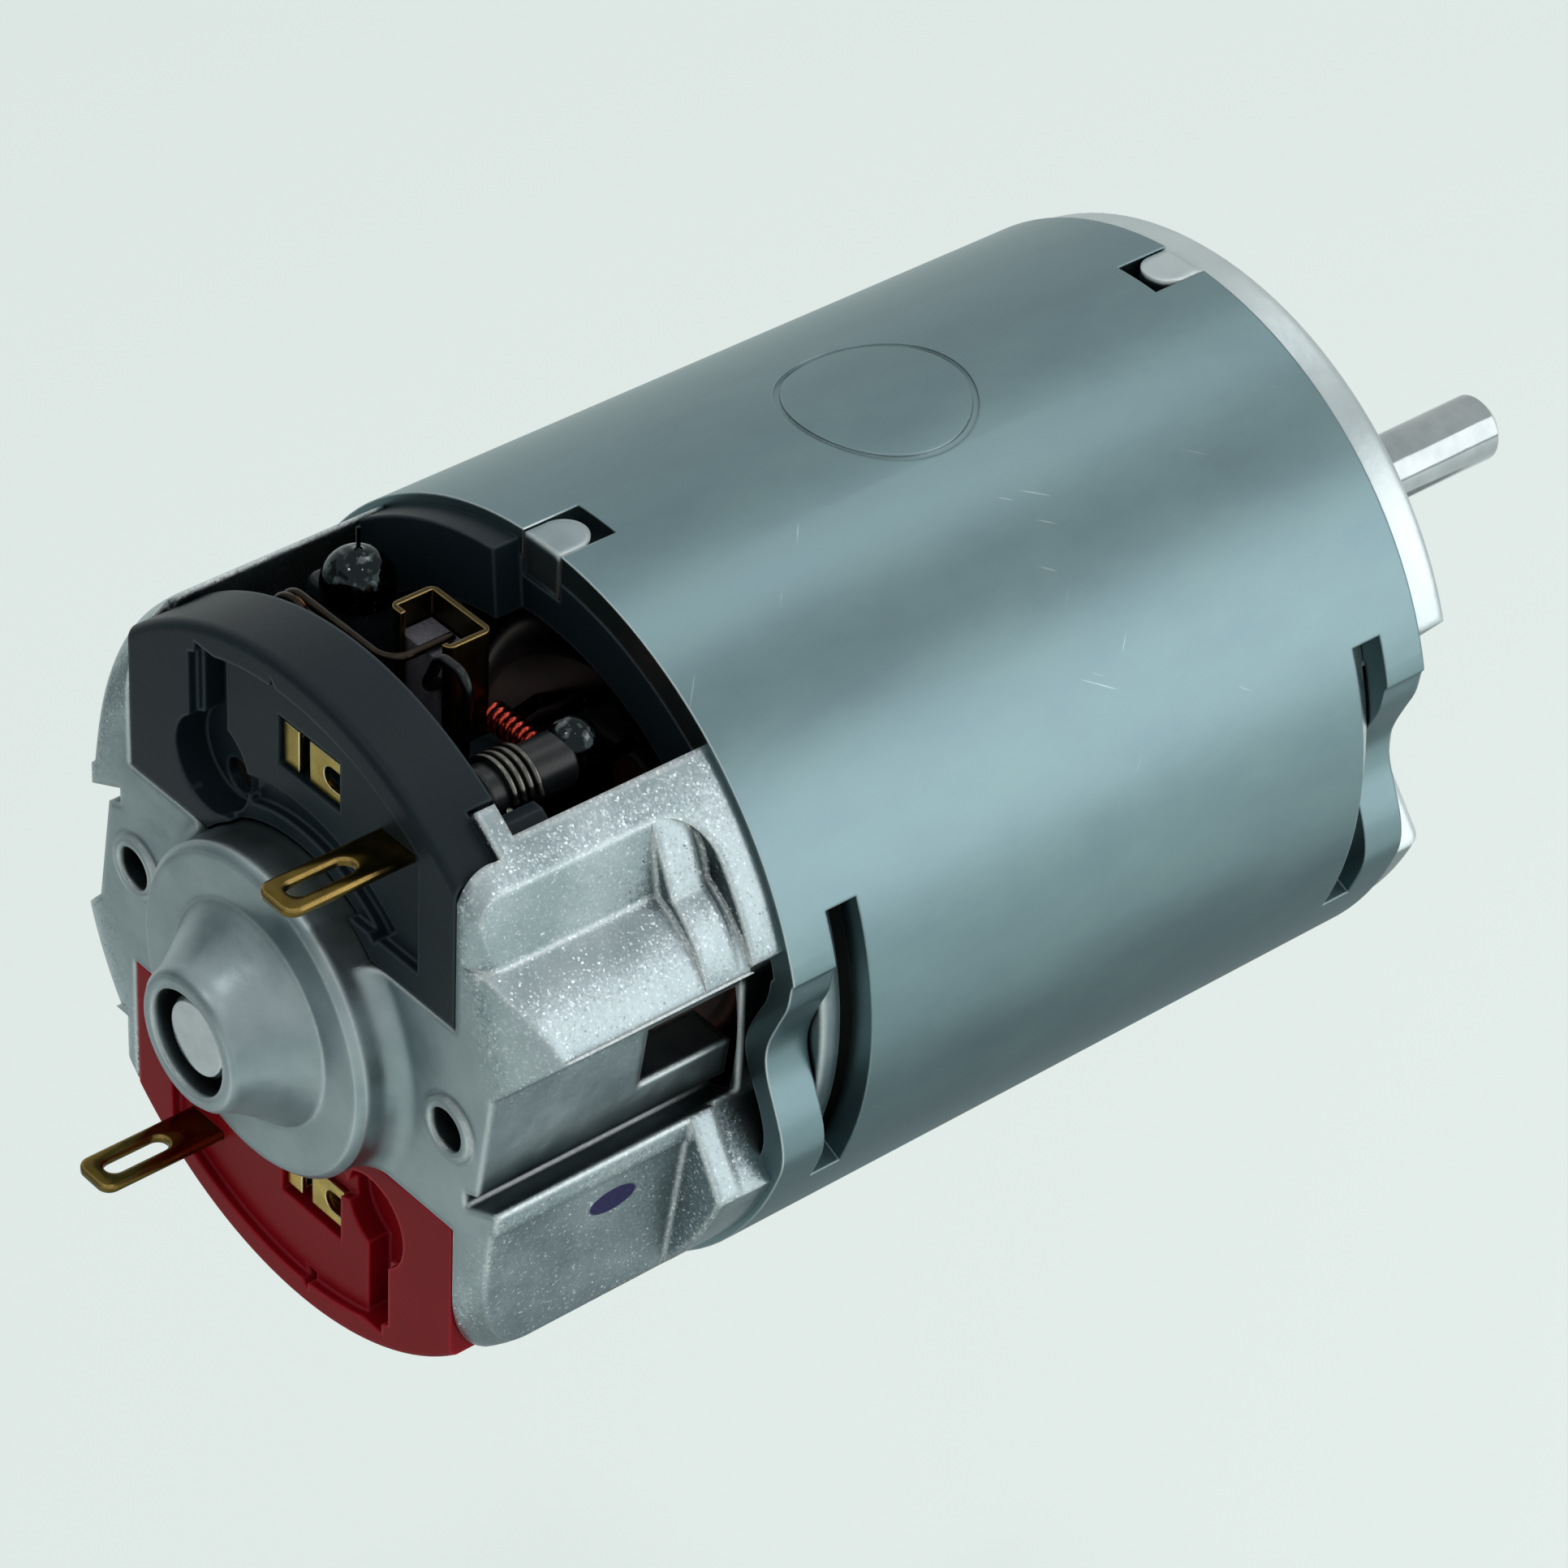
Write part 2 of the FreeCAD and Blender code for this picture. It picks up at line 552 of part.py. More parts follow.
def motor_can():
    margin = CRIMP_STRIP + CRIMP_SLOT_WIDTH
    tube = ring(CAN_RADIUS, CAN_BORE, CAN_REAR_Y + margin, CAN_FRONT_Y - margin)
    tube = tube.fuse([crimp_end(CAN_REAR_Y, 1), crimp_end(CAN_FRONT_Y, -1)])
    tube = tube.removeSplitter()
    for y_end, inward in ((CAN_REAR_Y, 1), (CAN_FRONT_Y, -1)):
        tube = tube.cut(pair(notch(y_end, inward, NOTCH_WIDTH, NOTCH_DEPTH)))
    stamp_y = CAN_REAR_Y + STAMP_FROM_REAR
    foot = Vector(0, stamp_y, 0)
    height = CAN_RADIUS + PAST
    stamp = Part.makeCylinder(STAMP_DIAMETER / 2, height, foot)
    stamp = stamp.cut(Part.makeCylinder(STAMP_DIAMETER / 2 - STAMP_GROOVE, height, foot))
    skin = ring(height, CAN_RADIUS - STAMP_DEPTH, stamp_y - STAMP_DIAMETER, stamp_y + STAMP_DIAMETER)
    return tube.cut(stamp.common(skin))


# ---- bushes, felts and clips ------------------------------------------------------------
def bush(y_centre):
    """A ball-shaped sintered bush that aligns itself in its seat."""
    ball = Part.makeSphere(BUSH_SPHERE_RADIUS, Vector(0, y_centre, 0))
    span = rod(BUSH_SPHERE_RADIUS + PAST, y_centre - BUSH_LENGTH / 2, y_centre + BUSH_LENGTH / 2)
    bore = rod(JOURNAL_RADIUS + RUNNING_GAP, y_centre - BUSH_LENGTH, y_centre + BUSH_LENGTH)
    return ball.common(span).cut(bore)


def bush_pocket(y_centre, y_mouth, y_outside):
    """What is cut from a shield for a bush, its felt and its clip, and for the shaft."""
    inward = 1 if y_mouth > y_centre else -1
    seat = Part.makeSphere(BUSH_SPHERE_RADIUS + FIT_GAP, Vector(0, y_centre, 0))
    pocket = rod(BUSH_POCKET_RADIUS, y_centre - inward * BUSH_POCKET_SETBACK, y_mouth)
    return seat.fuse([pocket, rod(BUSH_HOLE_RADIUS, y_centre, y_outside)])


def oil_felt(y_centre, inward):
    """Felt ring round the bush that holds its oil."""
    y_from = y_centre - inward * BUSH_POCKET_SETBACK
    y_to = y_from + inward * FELT_LENGTH
    return ring(BUSH_POCKET_RADIUS - FIT_GAP, BUSH_SPHERE_RADIUS + FIT_GAP, y_from, y_to)


def bush_clip(y_centre, inward):
    """Spring washer with fingers that holds the bush in its seat."""
    y_from = y_centre + inward * (FELT_LENGTH - BUSH_POCKET_SETBACK)
    y_to = y_from + inward * CLIP_THICKNESS
    drop = abs(y_from - y_centre)
    grip = math.sqrt(BUSH_SPHERE_RADIUS ** 2 - drop ** 2) + FIT_GAP
    washer = ring(BUSH_POCKET_RADIUS - FIT_GAP / 2, grip, y_from, y_to)
    low, high = sorted((y_from, y_to))
    reach = BUSH_POCKET_RADIUS - CLIP_RIM
    half = CLIP_SLIT_WIDTH / 2
    for index in range(CLIP_SLITS):
        slit = block(0, reach, low - PAST, high + PAST, -half, half)
        washer = washer.cut(turned_about(slit, FULL_TURN / CLIP_SLITS * index))
    return washer


# ---- front end shield -------------------------------------------------------------------
def crimp_relief(y_from, y_to):
    """The V-shaped hollow of a shield that the pressed strips of the can go into."""
    rim_x = math.sqrt(SHIELD_RADIUS ** 2 - RELIEF_HALF_HEIGHT ** 2)
    slope = (RELIEF_HALF_HEIGHT - RELIEF_FLOOR_HALF) / (rim_x - RELIEF_FLOOR)
    mouth_x = CAN_RADIUS + PAST
    mouth_z = RELIEF_HALF_HEIGHT + (mouth_x - rim_x) * slope
    points = [
        (mouth_x, mouth_z), (RELIEF_FLOOR, RELIEF_FLOOR_HALF),
        (RELIEF_FLOOR, -RELIEF_FLOOR_HALF), (mouth_x, -mouth_z),
    ]
    return pair(prism(points, y_from, y_to))


def lug(y_end, inward):
    """A round-ended lug that fits the can's notch."""
    width = NOTCH_WIDTH - 2 * LUG_CLEARANCE
    radius = width / 2
    y_round = y_end + inward * (LUG_LENGTH - radius)
    low, high = sorted((y_end, y_round))
    y_low = low - NOTCH_DEPTH
    y_high = high + NOTCH_DEPTH
    shape = block(-radius, radius, low, high, 0, CAN_RADIUS)
    shape = shape.fuse(Part.makeCylinder(radius, CAN_RADIUS, Vector(0, y_round, 0)))
    return shape.common(ring(CAN_RADIUS - LUG_SINK, SPIGOT_RADIUS - LUG_ROOT, y_low, y_high))


def front_end_shield():
    spigot_y = CAN_FRONT_Y - FRONT_SPIGOT_LENGTH
    flange = rod(SHIELD_RADIUS, CAN_FRONT_Y, 0)
    flange = round_edges(flange, FLANGE_ROUND, lambda edge: edge.BoundBox.YMin > -FLANGE_ROUND)
    spigot = ring(SPIGOT_RADIUS, SPIGOT_RADIUS - SPIGOT_WALL, spigot_y, CAN_FRONT_Y)
    hub = rod(BUSH_POCKET_RADIUS + FRONT_HUB_WALL, -FRONT_HUB_DEPTH, CAN_FRONT_Y)
    pilot = rod(PILOT_DIAMETER / 2, 0, PILOT_HEIGHT)
    pilot = round_edges(pilot, PILOT_ROUND, lambda edge: edge.BoundBox.YMin > PILOT_HEIGHT / 2)
    shield = flange.fuse([spigot, hub, pilot, rib_star(RIB_SETBACK - FRONT_HUB_DEPTH, CAN_FRONT_Y)])
    shield = shield.cut(crimp_relief(CAN_FRONT_Y - CRIMP_STRIP - CLEAR_GAP, PAST))
    shield = shield.fuse(pair(lug(CAN_FRONT_Y, -1)))
    shield = shield.cut(bush_pocket(FRONT_BUSH_Y, -FRONT_HUB_DEPTH - PAST, PILOT_HEIGHT + PAST))
    for index in range(FRONT_HOLE_COUNT):
        place = polar(FRONT_HOLE_CIRCLE / 2, 45 + index * FULL_TURN / FRONT_HOLE_COUNT)
        shield = shield.cut(rod(TAPPED_HOLE_RADIUS, spigot_y, PAST, place.x, place.z))
    return shield.removeSplitter()


def rib_star(y_from, y_to):
    """Stiffening ribs between the hub and the spigot."""
    reach = SPIGOT_RADIUS - SPIGOT_WALL / 2
    half = RIB_THICKNESS / 2
    rib = block(BUSH_POCKET_RADIUS, reach, y_from, y_to, -half, half)
    ribs = [turned_about(rib, FULL_TURN / RIB_COUNT * index) for index in range(RIB_COUNT)]
    return ribs[0].fuse(ribs[1:])


# ---- rear end shield --------------------------------------------------------------------
def boss_profile():
    """Disc, waisted cone and tip of the rear bearing boss, as (radius, y) points."""
    waist = []
    steps = 6
    for step in range(steps + 1):
        part = step / steps
        radius = CONE_TIP_RADIUS + (CONE_BASE_RADIUS - CONE_TIP_RADIUS) * (1 - part) ** CONE_WAIST
        waist.append((radius, DISC_REAR_Y - (CONE_HEIGHT - CONE_CHAMFER) * part))
    tip = [(CONE_TIP_RADIUS - CONE_CHAMFER, BOSS_TIP_Y), (0, BOSS_TIP_Y)]
    disc = [(0, HOLDER_REAR_Y + BRIDGE_THICKNESS), (DISC_RADIUS, HOLDER_REAR_Y + BRIDGE_THICKNESS)]
    rim = [(DISC_RADIUS, DISC_REAR_Y + DISC_CHAMFER), (DISC_RADIUS - DISC_CHAMFER, DISC_REAR_Y)]
    return disc + rim + waist + tip


def corner_round(drop, length):
    """Envelope of a pillar: a cylinder whose rear edge is rounded off."""
    start = Vector(SHIELD_RADIUS - drop, HOLDER_REAR_Y, 0)
    end = Vector(SHIELD_RADIUS, HOLDER_REAR_Y + length, 0)
    outer_front = Vector(SHIELD_RADIUS, CAN_REAR_Y, 0)
    inner_front = Vector(0, CAN_REAR_Y, 0)
    inner_rear = Vector(0, HOLDER_REAR_Y, 0)
    edges = [
        corner_arc(start, Vector(SHIELD_RADIUS, HOLDER_REAR_Y, 0), end), Part.makeLine(end, outer_front),
        Part.makeLine(outer_front, inner_front), Part.makeLine(inner_front, inner_rear),
        Part.makeLine(inner_rear, start),
    ]
    return Part.Face(Part.Wire(edges)).revolve(ORIGIN, Y_AXIS, FULL_TURN)


def scoop_crease(share):
    """The crease of the scoop, at a share of its full depth, as a point at y = 0."""
    top = polar(SHIELD_RADIUS, TOP_BAND_ANGLE)
    full = Vector(top.x + SCOOP_LEAN, 0, top.z - SCOOP_DROP)
    surface = polar(SHIELD_RADIUS, (TOP_BAND_ANGLE + BLOCK_EDGE_ANGLE) / 2)
    return surface + (full - surface) * share


def scoop(share, y_from, y_to):
    """What is cut for a stretch of the scoop: a steep wall, a crease and a crowned floor."""
    top = polar(SHIELD_RADIUS, TOP_BAND_ANGLE)
    crease = scoop_crease(share)
    foot = polar(SHIELD_RADIUS - SCOOP_LIP, BLOCK_EDGE_ANGLE)
    along = (foot - crease).normalize()
    crown = (crease + foot) * 0.5 + Vector(-along.z, 0, along.x) * SCOOP_CROWN
    past = 1 + 2 * PAST / SHIELD_RADIUS
    floor = Part.Arc(crease, crown, foot).toShape()
    edges = [Part.makeLine(top, crease), floor, Part.makeLine(foot, foot * past),
             Part.makeLine(foot * past, top * past), Part.makeLine(top * past, top)]
    cut = Part.Face(Part.Wire(edges)).extrude(Vector(0, y_to - y_from, 0))
    cut.translate(Vector(0, y_from, 0))
    return cut


def scoop_outline():
    """Column along X that the scoop lies in, with its rounded corner at the rim band."""
    top = polar(SHIELD_RADIUS, TOP_BAND_ANGLE).z
    y_rear = HOLDER_REAR_Y - PAST
    y_band = CAN_REAR_Y - RIM_BAND
    start = Vector(0, y_band - SCOOP_CORNER, top)
    end = Vector(0, y_band, top - SCOOP_CORNER)
    corners = [end, Vector(0, y_band, 0), Vector(0, y_rear, 0), Vector(0, y_rear, top), start]
    edges = [Part.makeLine(*ends) for ends in zip(corners, corners[1:])]
    edges.append(corner_arc(start, Vector(0, y_band, top), end))
    return Part.Face(Part.Wire(edges)).extrude(Vector(CAN_DIAMETER, 0, 0))


def scoop_end():
    """Rounding from the scoop's wall into the rear face of the pillar."""
    crease = scoop_crease(1)
    top = polar(SHIELD_RADIUS, TOP_BAND_ANGLE)
    inner = Vector(crease.x - SCOOP_END_ROUND, HOLDER_REAR_Y, crease.z)
    corner = Vector(crease.x, HOLDER_REAR_Y, crease.z)
    outer = Vector(crease.x, HOLDER_REAR_Y + SCOOP_END_ROUND, crease.z)
    edges = [corner_arc(inner, corner, outer), Part.makeLine(outer, corner), Part.makeLine(corner, inner)]
    return Part.Face(Part.Wire(edges)).extrude(Vector(0, 0, top.z - crease.z))


def upper_section():
    """Section of a pillar's upper block, the channel below it and the ridge, as (x, z) points."""
    reach = CAN_RADIUS + PAST
    edge = polar(SHIELD_RADIUS, BLOCK_EDGE_ANGLE)
    groove_x = SHIELD_RADIUS - GROOVE_FLOOR_DEPTH
    return [
        (PILLAR_INNER, reach), (reach, reach), (reach, edge.z + reach - edge.x), (edge.x, edge.z),
        (RELIEF_FLOOR, RELIEF_FLOOR_HALF), (SHIELD_RADIUS - RIDGE_DEPTH, RIDGE_Z),
        (groove_x, RIDGE_Z - GROOVE_SLOPE), (groove_x, LOWER_BLOCK_TOP), (PILLAR_INNER, LOWER_BLOCK_TOP),
    ]


def lower_section(rib_step):
    """Section of a pillar's lower block: its top, the rib's edge and the face below it."""
    reach = CAN_RADIUS + PAST
    groove_x = SHIELD_RADIUS - GROOVE_FLOOR_DEPTH
    rib_x = SHIELD_RADIUS - LOWER_RIB_INSET
    points = [(PILLAR_INNER, LOWER_BLOCK_TOP), (groove_x, LOWER_BLOCK_TOP), (rib_x, LOWER_RIB_TOP)]
    if rib_step:
        rib_foot = LOWER_RIB_TOP - LOWER_RIB_HEIGHT
        foot = polar(reach, -LOWER_FACE_ANGLE)
        points += [(rib_x, rib_foot), (rib_x - rib_step, rib_foot - rib_step), (foot.x, foot.z)]
    else:
        points += [(reach, LOWER_RIB_TOP - (reach - rib_x) * LOWER_RIM_SLOPE), (reach, -reach)]
    return points + [(PILLAR_INNER, -reach)]


def pillar():
    """The right-hand pillar: two blocks with a channel between them."""
    y_band = CAN_REAR_Y - RIM_BAND
    y_groove = y_band - RIM_GROOVE
    y_step = y_groove - STEP_LENGTH
    y_turn = CAN_REAR_Y - LOWER_RIB_TURN
    upper = prism(upper_section(), HOLDER_REAR_Y, CAN_REAR_Y)
    lower = prism(lower_section(LOWER_RIB_STEP), HOLDER_REAR_Y, y_turn)
    body = upper.fuse([lower, prism(lower_section(0), y_turn, CAN_REAR_Y)])
    above = PILLAR_TOP_ANGLE + 1
    crease = scoop_crease(1)
    crease_angle = math.degrees(math.atan2(crease.z, crease.x))
    band_zone = sector(CAN_RADIUS, BUSH_POCKET_RADIUS, crease_angle, above, HOLDER_REAR_Y, CAN_REAR_Y)
    band = corner_round(BAND_CORNER_DROP, BAND_CORNER_LENGTH).common(band_zone)
    rest = corner_round(CORNER_DROP, CORNER_LENGTH).cut(band_zone)
    body = body.common(band.fuse(rest))
    outline = scoop_outline()
    stretches = [scoop(1, HOLDER_REAR_Y - PAST, y_step), scoop(STEP_SHARE, y_step, y_groove),
                 scoop(GROOVE_SHARE, y_groove, y_band)]
    cuts = [stretch.common(outline) for stretch in stretches]
    cuts.append(block(0, PILLAR_FLAT, HOLDER_REAR_Y - PAST, HOLDER_WEB_Y, -CAN_RADIUS, CAN_RADIUS))
    return body.cut(cuts + [scoop_end()] + core_pockets(y_step))


def core_pockets(y_to):
    """Hollows that a core leaves inside both blocks, so that the walls stay even."""
    y_from = HOLDER_WEB_Y + CORE_POCKET_WALL
    x_from = PILLAR_INNER - PAST
    x_to = PILLAR_INNER + CORE_POCKET_DEPTH
    upper_foot = RELIEF_FLOOR_HALF + CORE_POCKET_DEPTH
    lower_top = LOWER_BLOCK_TOP - CORE_POCKET_DEPTH
    upper = block(x_from, x_to, y_from, y_to, upper_foot, UPPER_POCKET_TOP)
    lower = block(x_from, x_to, y_from, y_to, LOWER_POCKET_FOOT, lower_top)
    return [upper, lower]


def disc_fillet():
    """Hollow fillet between the bearing disc and the bridge."""
    start = Vector(DISC_RADIUS, HOLDER_REAR_Y - DISC_FILLET, 0)
    end = Vector(DISC_RADIUS + DISC_FILLET, HOLDER_REAR_Y, 0)
    corner = Vector(DISC_RADIUS, HOLDER_REAR_Y, 0)
    edges = [corner_arc(start, corner, end), Part.makeLine(end, corner), Part.makeLine(corner, start)]
    full = Part.Face(Part.Wire(edges)).revolve(ORIGIN, Y_AXIS, FULL_TURN)
    height = BRIDGE_HALF_HEIGHT
    return full.common(block(-CAN_RADIUS, CAN_RADIUS, start.y, end.y, -height, height))


def finger():
    """Finger on a pillar's top edge that reaches over the rim of a holder."""
    start = PILLAR_TOP_ANGLE - FINGER_ROOT
    y_to = HOLDER_WEB_Y + FINGER_WIDTH
    return sector(SHIELD_RADIUS, SHIELD_RADIUS - FINGER_THICKNESS, start, FINGER_ANGLE, HOLDER_WEB_Y, y_to)


def rear_hole_rim():
    y_top = HOLDER_REAR_Y - REAR_HOLE_RIM_HEIGHT
    return rod(REAR_HOLE_RIM, y_top, HOLDER_REAR_Y + REAR_HOLE_RIM_HEIGHT, REAR_HOLE_SPACING / 2)


def rear_end_shield():
    """Casting with the bearing boss, the bridge, both pillars and the spigot in the can."""
    boss = turned(boss_profile())
    y_bridge = HOLDER_REAR_Y + BRIDGE_THICKNESS
    y_spigot = CAN_REAR_Y + REAR_SPIGOT_LENGTH
    y_arc = CAN_REAR_Y + INSULATOR_ARC_THICKNESS
    height = BRIDGE_HALF_HEIGHT
    bridge = block(-PILLAR_FLAT, PILLAR_FLAT, HOLDER_REAR_Y, y_bridge, -height, height)
    spigot = ring(SPIGOT_RADIUS, SPIGOT_RADIUS - SPIGOT_WALL, y_arc, y_spigot)
    root = block(PILLAR_INNER, CAN_RADIUS, CAN_REAR_Y, y_spigot, -CAN_RADIUS, CAN_RADIUS)
    root = root.common(ring(SPIGOT_RADIUS, SPIGOT_RADIUS - SPIGOT_ROOT, CAN_REAR_Y, y_spigot))
    sides = [root, pillar(), finger(), rear_hole_rim()]
    shield = boss.fuse([bridge, disc_fillet(), spigot] + [pair(side) for side in sides])
    shield = shield.cut(crimp_relief(CAN_REAR_Y - RIM_BAND, CAN_REAR_Y + CRIMP_STRIP + CLEAR_GAP))
    shield = shield.fuse(pair(lug(CAN_REAR_Y, 1)))
    shield = shield.cut(bush_pocket(REAR_BUSH_Y, y_bridge + PAST, BOSS_TIP_Y - PAST))
    y_hole = HOLDER_REAR_Y + REAR_HOLE_DEPTH
    hole = rod(REAR_HOLE_RADIUS, HOLDER_REAR_Y - PAST, y_hole, REAR_HOLE_SPACING / 2)
    y_wires = CAN_REAR_Y - WIRE_HOLE_FROM
    wires = block(PILLAR_INNER - PAST, CAN_RADIUS, y_wires, CAN_REAR_Y, WIRE_HOLE_LOW, WIRE_HOLE_HIGH)
    return shield.cut([pair(hole), pair(wires)])


# ---- magnets ----------------------------------------------------------------------------
def magnet():
    """Ferrite half shell at the right-hand side, with chamfered inner edges."""
    y_rear = CAN_REAR_Y + MAGNET_REAR_GAP
    half = MAGNET_HALF_ANGLE
    return sector(MAGNET_RADIUS, MAGNET_BORE, -half, half, y_rear, y_rear + MAGNET_LENGTH)


def magnet_spring():
    """Spring steel clip under the top of the can that pushes the magnets apart."""
    edge = MAGNET_HALF_ANGLE + MAGNET_SPRING_PLAY
    margin = MAGNET_SPRING_MARGIN
    y_from = CAN_REAR_Y + MAGNET_REAR_GAP + margin
    y_to = y_from + MAGNET_LENGTH - 2 * margin
    sheet = MAGNET_SPRING_THICKNESS
    inner = MAGNET_RADIUS - MAGNET_THICKNESS * MAGNET_SPRING_SHARE
    back = sector(MAGNET_RADIUS, MAGNET_RADIUS - sheet, edge, 180 - edge, y_from, y_to)
    leg_angle = math.degrees(sheet / MAGNET_RADIUS)
    leg = sector(MAGNET_RADIUS, inner, edge, edge + leg_angle, y_from, y_to)
    other_leg = sector(MAGNET_RADIUS, inner, 180 - edge - leg_angle, 180 - edge, y_from, y_to)
    return back.fuse([leg, other_leg])


# ---- armature ---------------------------------------------------------------------------
def motor_shaft():
    """Ground shaft: journal and armature seat, then a shoulder and the free end."""
    y_shoulder = PILOT_HEIGHT + SHOULDER_STANDOFF
    journal = [(0, SHAFT_REAR_Y), (JOURNAL_RADIUS - REAR_CHAMFER, SHAFT_REAR_Y),
               (JOURNAL_RADIUS, SHAFT_REAR_Y + REAR_CHAMFER), (JOURNAL_RADIUS, y_shoulder)]
    free_end = [(SHAFT_RADIUS, y_shoulder), (SHAFT_RADIUS, SHAFT_OUT - SHAFT_CHAMFER),
                (SHAFT_RADIUS - SHAFT_CHAMFER, SHAFT_OUT), (0, SHAFT_OUT)]
    return turned(journal + free_end)


def slot_outline(inset, outer, y):
    """Section of a slot at the top: parallel-sided teeth leave a wedge between them."""
    half_pitch = FULL_TURN / SLOT_COUNT / 2
    tooth_half = TOOTH_WIDTH / 2 + inset

    def edge_angle(radius):
        return half_pitch - math.degrees(math.asin(tooth_half / radius))

    bottom = SLOT_BOTTOM_RADIUS + inset
    top_half = edge_angle(outer)
    bottom_half = edge_angle(bottom)
    outside = arc_edge(outer, 90 - top_half, 90 + top_half, y)
    inside = arc_edge(bottom, 90 + bottom_half, 90 - bottom_half, y)
    side_a = Part.makeLine(polar(outer, 90 + top_half, y), polar(bottom, 90 + bottom_half, y))
    side_b = Part.makeLine(polar(bottom, 90 - bottom_half, y), polar(outer, 90 - top_half, y))
    return Part.Face(Part.Wire([outside, side_a, inside, side_b]))


def slotted_disc(radius, y_from, y_to):
    """One stack of toothed sheets on the shaft."""
    disc = ring(radius, JOURNAL_RADIUS, y_from, y_to)
    slot = slot_outline(0.0, CORE_RADIUS - TOOTH_TIP_THICKNESS, y_from)
    slot = slot.extrude(Vector(0, y_to - y_from, 0))
    half = SLOT_OPENING / 2
    opening = block(-half, half, y_from, y_to, CORE_RADIUS - 2 * TOOTH_TIP_THICKNESS, CORE_RADIUS + PAST)
    slot = slot.fuse(opening)
    cuts = [turned_about(slot, FULL_TURN / SLOT_COUNT * index) for index in range(SLOT_COUNT)]
    return disc.cut(cuts)


def armature_core():
    return slotted_disc(CORE_RADIUS, CORE_REAR_Y, CORE_FRONT_Y)


def end_insulator(y_from, y_to):
    return slotted_disc(CORE_RADIUS - COIL_CLEARANCE, y_from, y_to)


def end_turns(y_core, y_end):
    """The rounded ring of wire at one end of the core."""
    bulge = abs(y_end - y_core) / 2
    way = 1 if y_end > y_core else -1
    y_shoulder = y_core + way * bulge
    inner = END_TURN_BORE
    outer = END_TURN_RADIUS
    foot = Vector(inner, y_core, 0)
    heel = Vector(outer, y_core, 0)
    outer_side = Vector(outer, y_shoulder, 0)
    outer_top = Vector(outer - bulge, y_end, 0)
    inner_top = Vector(inner + bulge, y_end, 0)
    inner_side = Vector(inner, y_shoulder, 0)
    edges = [
        Part.makeLine(foot, heel), Part.makeLine(heel, outer_side),
        corner_arc(outer_side, Vector(outer, y_end, 0), outer_top),
        Part.makeLine(outer_top, inner_top),
        corner_arc(inner_top, Vector(inner, y_end, 0), inner_side),
        Part.makeLine(inner_side, foot),
    ]
    return Part.Face(Part.Wire(edges)).revolve(ORIGIN, Y_AXIS, FULL_TURN)


def armature_windings():
    """Wire in the slots, the turns at both ends and a lead to each riser."""
    y_rear = CORE_REAR_Y - INSULATOR_THICKNESS
    y_front = CORE_FRONT_Y + INSULATOR_THICKNESS
    y_rear_end = y_rear - END_TURN_LENGTH
    outer = CORE_RADIUS - TOOTH_TIP_THICKNESS - COIL_CLEARANCE
    bar = slot_outline(COIL_CLEARANCE, outer, y_rear).extrude(Vector(0, y_front - y_rear, 0))
    lead_end = Vector(0, COMMUTATOR_FRONT_Y, COMMUTATOR_RADIUS + RISER_HEIGHT / 2)
    lead_start = Vector(0, y_rear_end + LEAD_RADIUS, LEAD_START_RADIUS)
    along = lead_end - lead_start
    lead = Part.makeCylinder(LEAD_RADIUS, along.Length, lead_start, along)
    lead = lead.cut(rod(CORE_RADIUS, COMMUTATOR_FRONT_Y, COMMUTATOR_REAR_Y))
    step = FULL_TURN / SLOT_COUNT
    bars = [turned_about(bar, step * index) for index in range(SLOT_COUNT)]
    leads = [turned_about(lead, step * (index + 0.5)) for index in range(SLOT_COUNT)]
    rear = end_turns(y_rear, y_rear_end)
    front = end_turns(y_front, y_front + END_TURN_LENGTH)
    return rear.fuse([front] + bars + leads)


def commutator_segments():
    """Copper bars with a riser hook at the front end of each."""
    y_rear = COMMUTATOR_REAR_Y
    y_front = COMMUTATOR_FRONT_Y
    step = FULL_TURN / SLOT_COUNT
    gap = math.degrees(SEGMENT_SLIT / COMMUTATOR_RADIUS)
    from_angle = 90 - (step - gap) / 2
    bar = sector(COMMUTATOR_RADIUS, SEGMENT_BORE, from_angle, 180 - from_angle, y_rear, y_front)
    half = RISER_WIDTH / 2
    foot = COMMUTATOR_RADIUS - SEGMENT_THICKNESS / 2
    top = COMMUTATOR_RADIUS + RISER_HEIGHT
    riser = block(-half, half, y_front - RISER_LENGTH, y_front, foot, top)
    bar = bar.fuse(riser)
    bars = [turned_about(bar, step * (index + 0.5)) for index in range(SLOT_COUNT)]
    return Part.makeCompound(bars)


def commutator_hub():
    y_rear = COMMUTATOR_REAR_Y - HUB_OVERHANG
    return ring(SEGMENT_BORE, JOURNAL_RADIUS, y_rear, COMMUTATOR_FRONT_Y + HUB_OVERHANG)


def front_spacer():
    return ring(SPACER_RADIUS, JOURNAL_RADIUS, CORE_FRONT_Y + INSULATOR_THICKNESS, FRONT_WASHER_Y)


def rear_spacer():
    return ring(SPACER_RADIUS, JOURNAL_RADIUS, REAR_WASHER_Y, COMMUTATOR_REAR_Y - HUB_OVERHANG)


def front_thrust_washer():
    return ring(WASHER_RADIUS, JOURNAL_RADIUS, FRONT_WASHER_Y, FRONT_WASHER_Y + WASHER_THICKNESS)


def rear_thrust_washer():
    return ring(WASHER_RADIUS, JOURNAL_RADIUS, REAR_WASHER_Y - WASHER_THICKNESS, REAR_WASHER_Y)


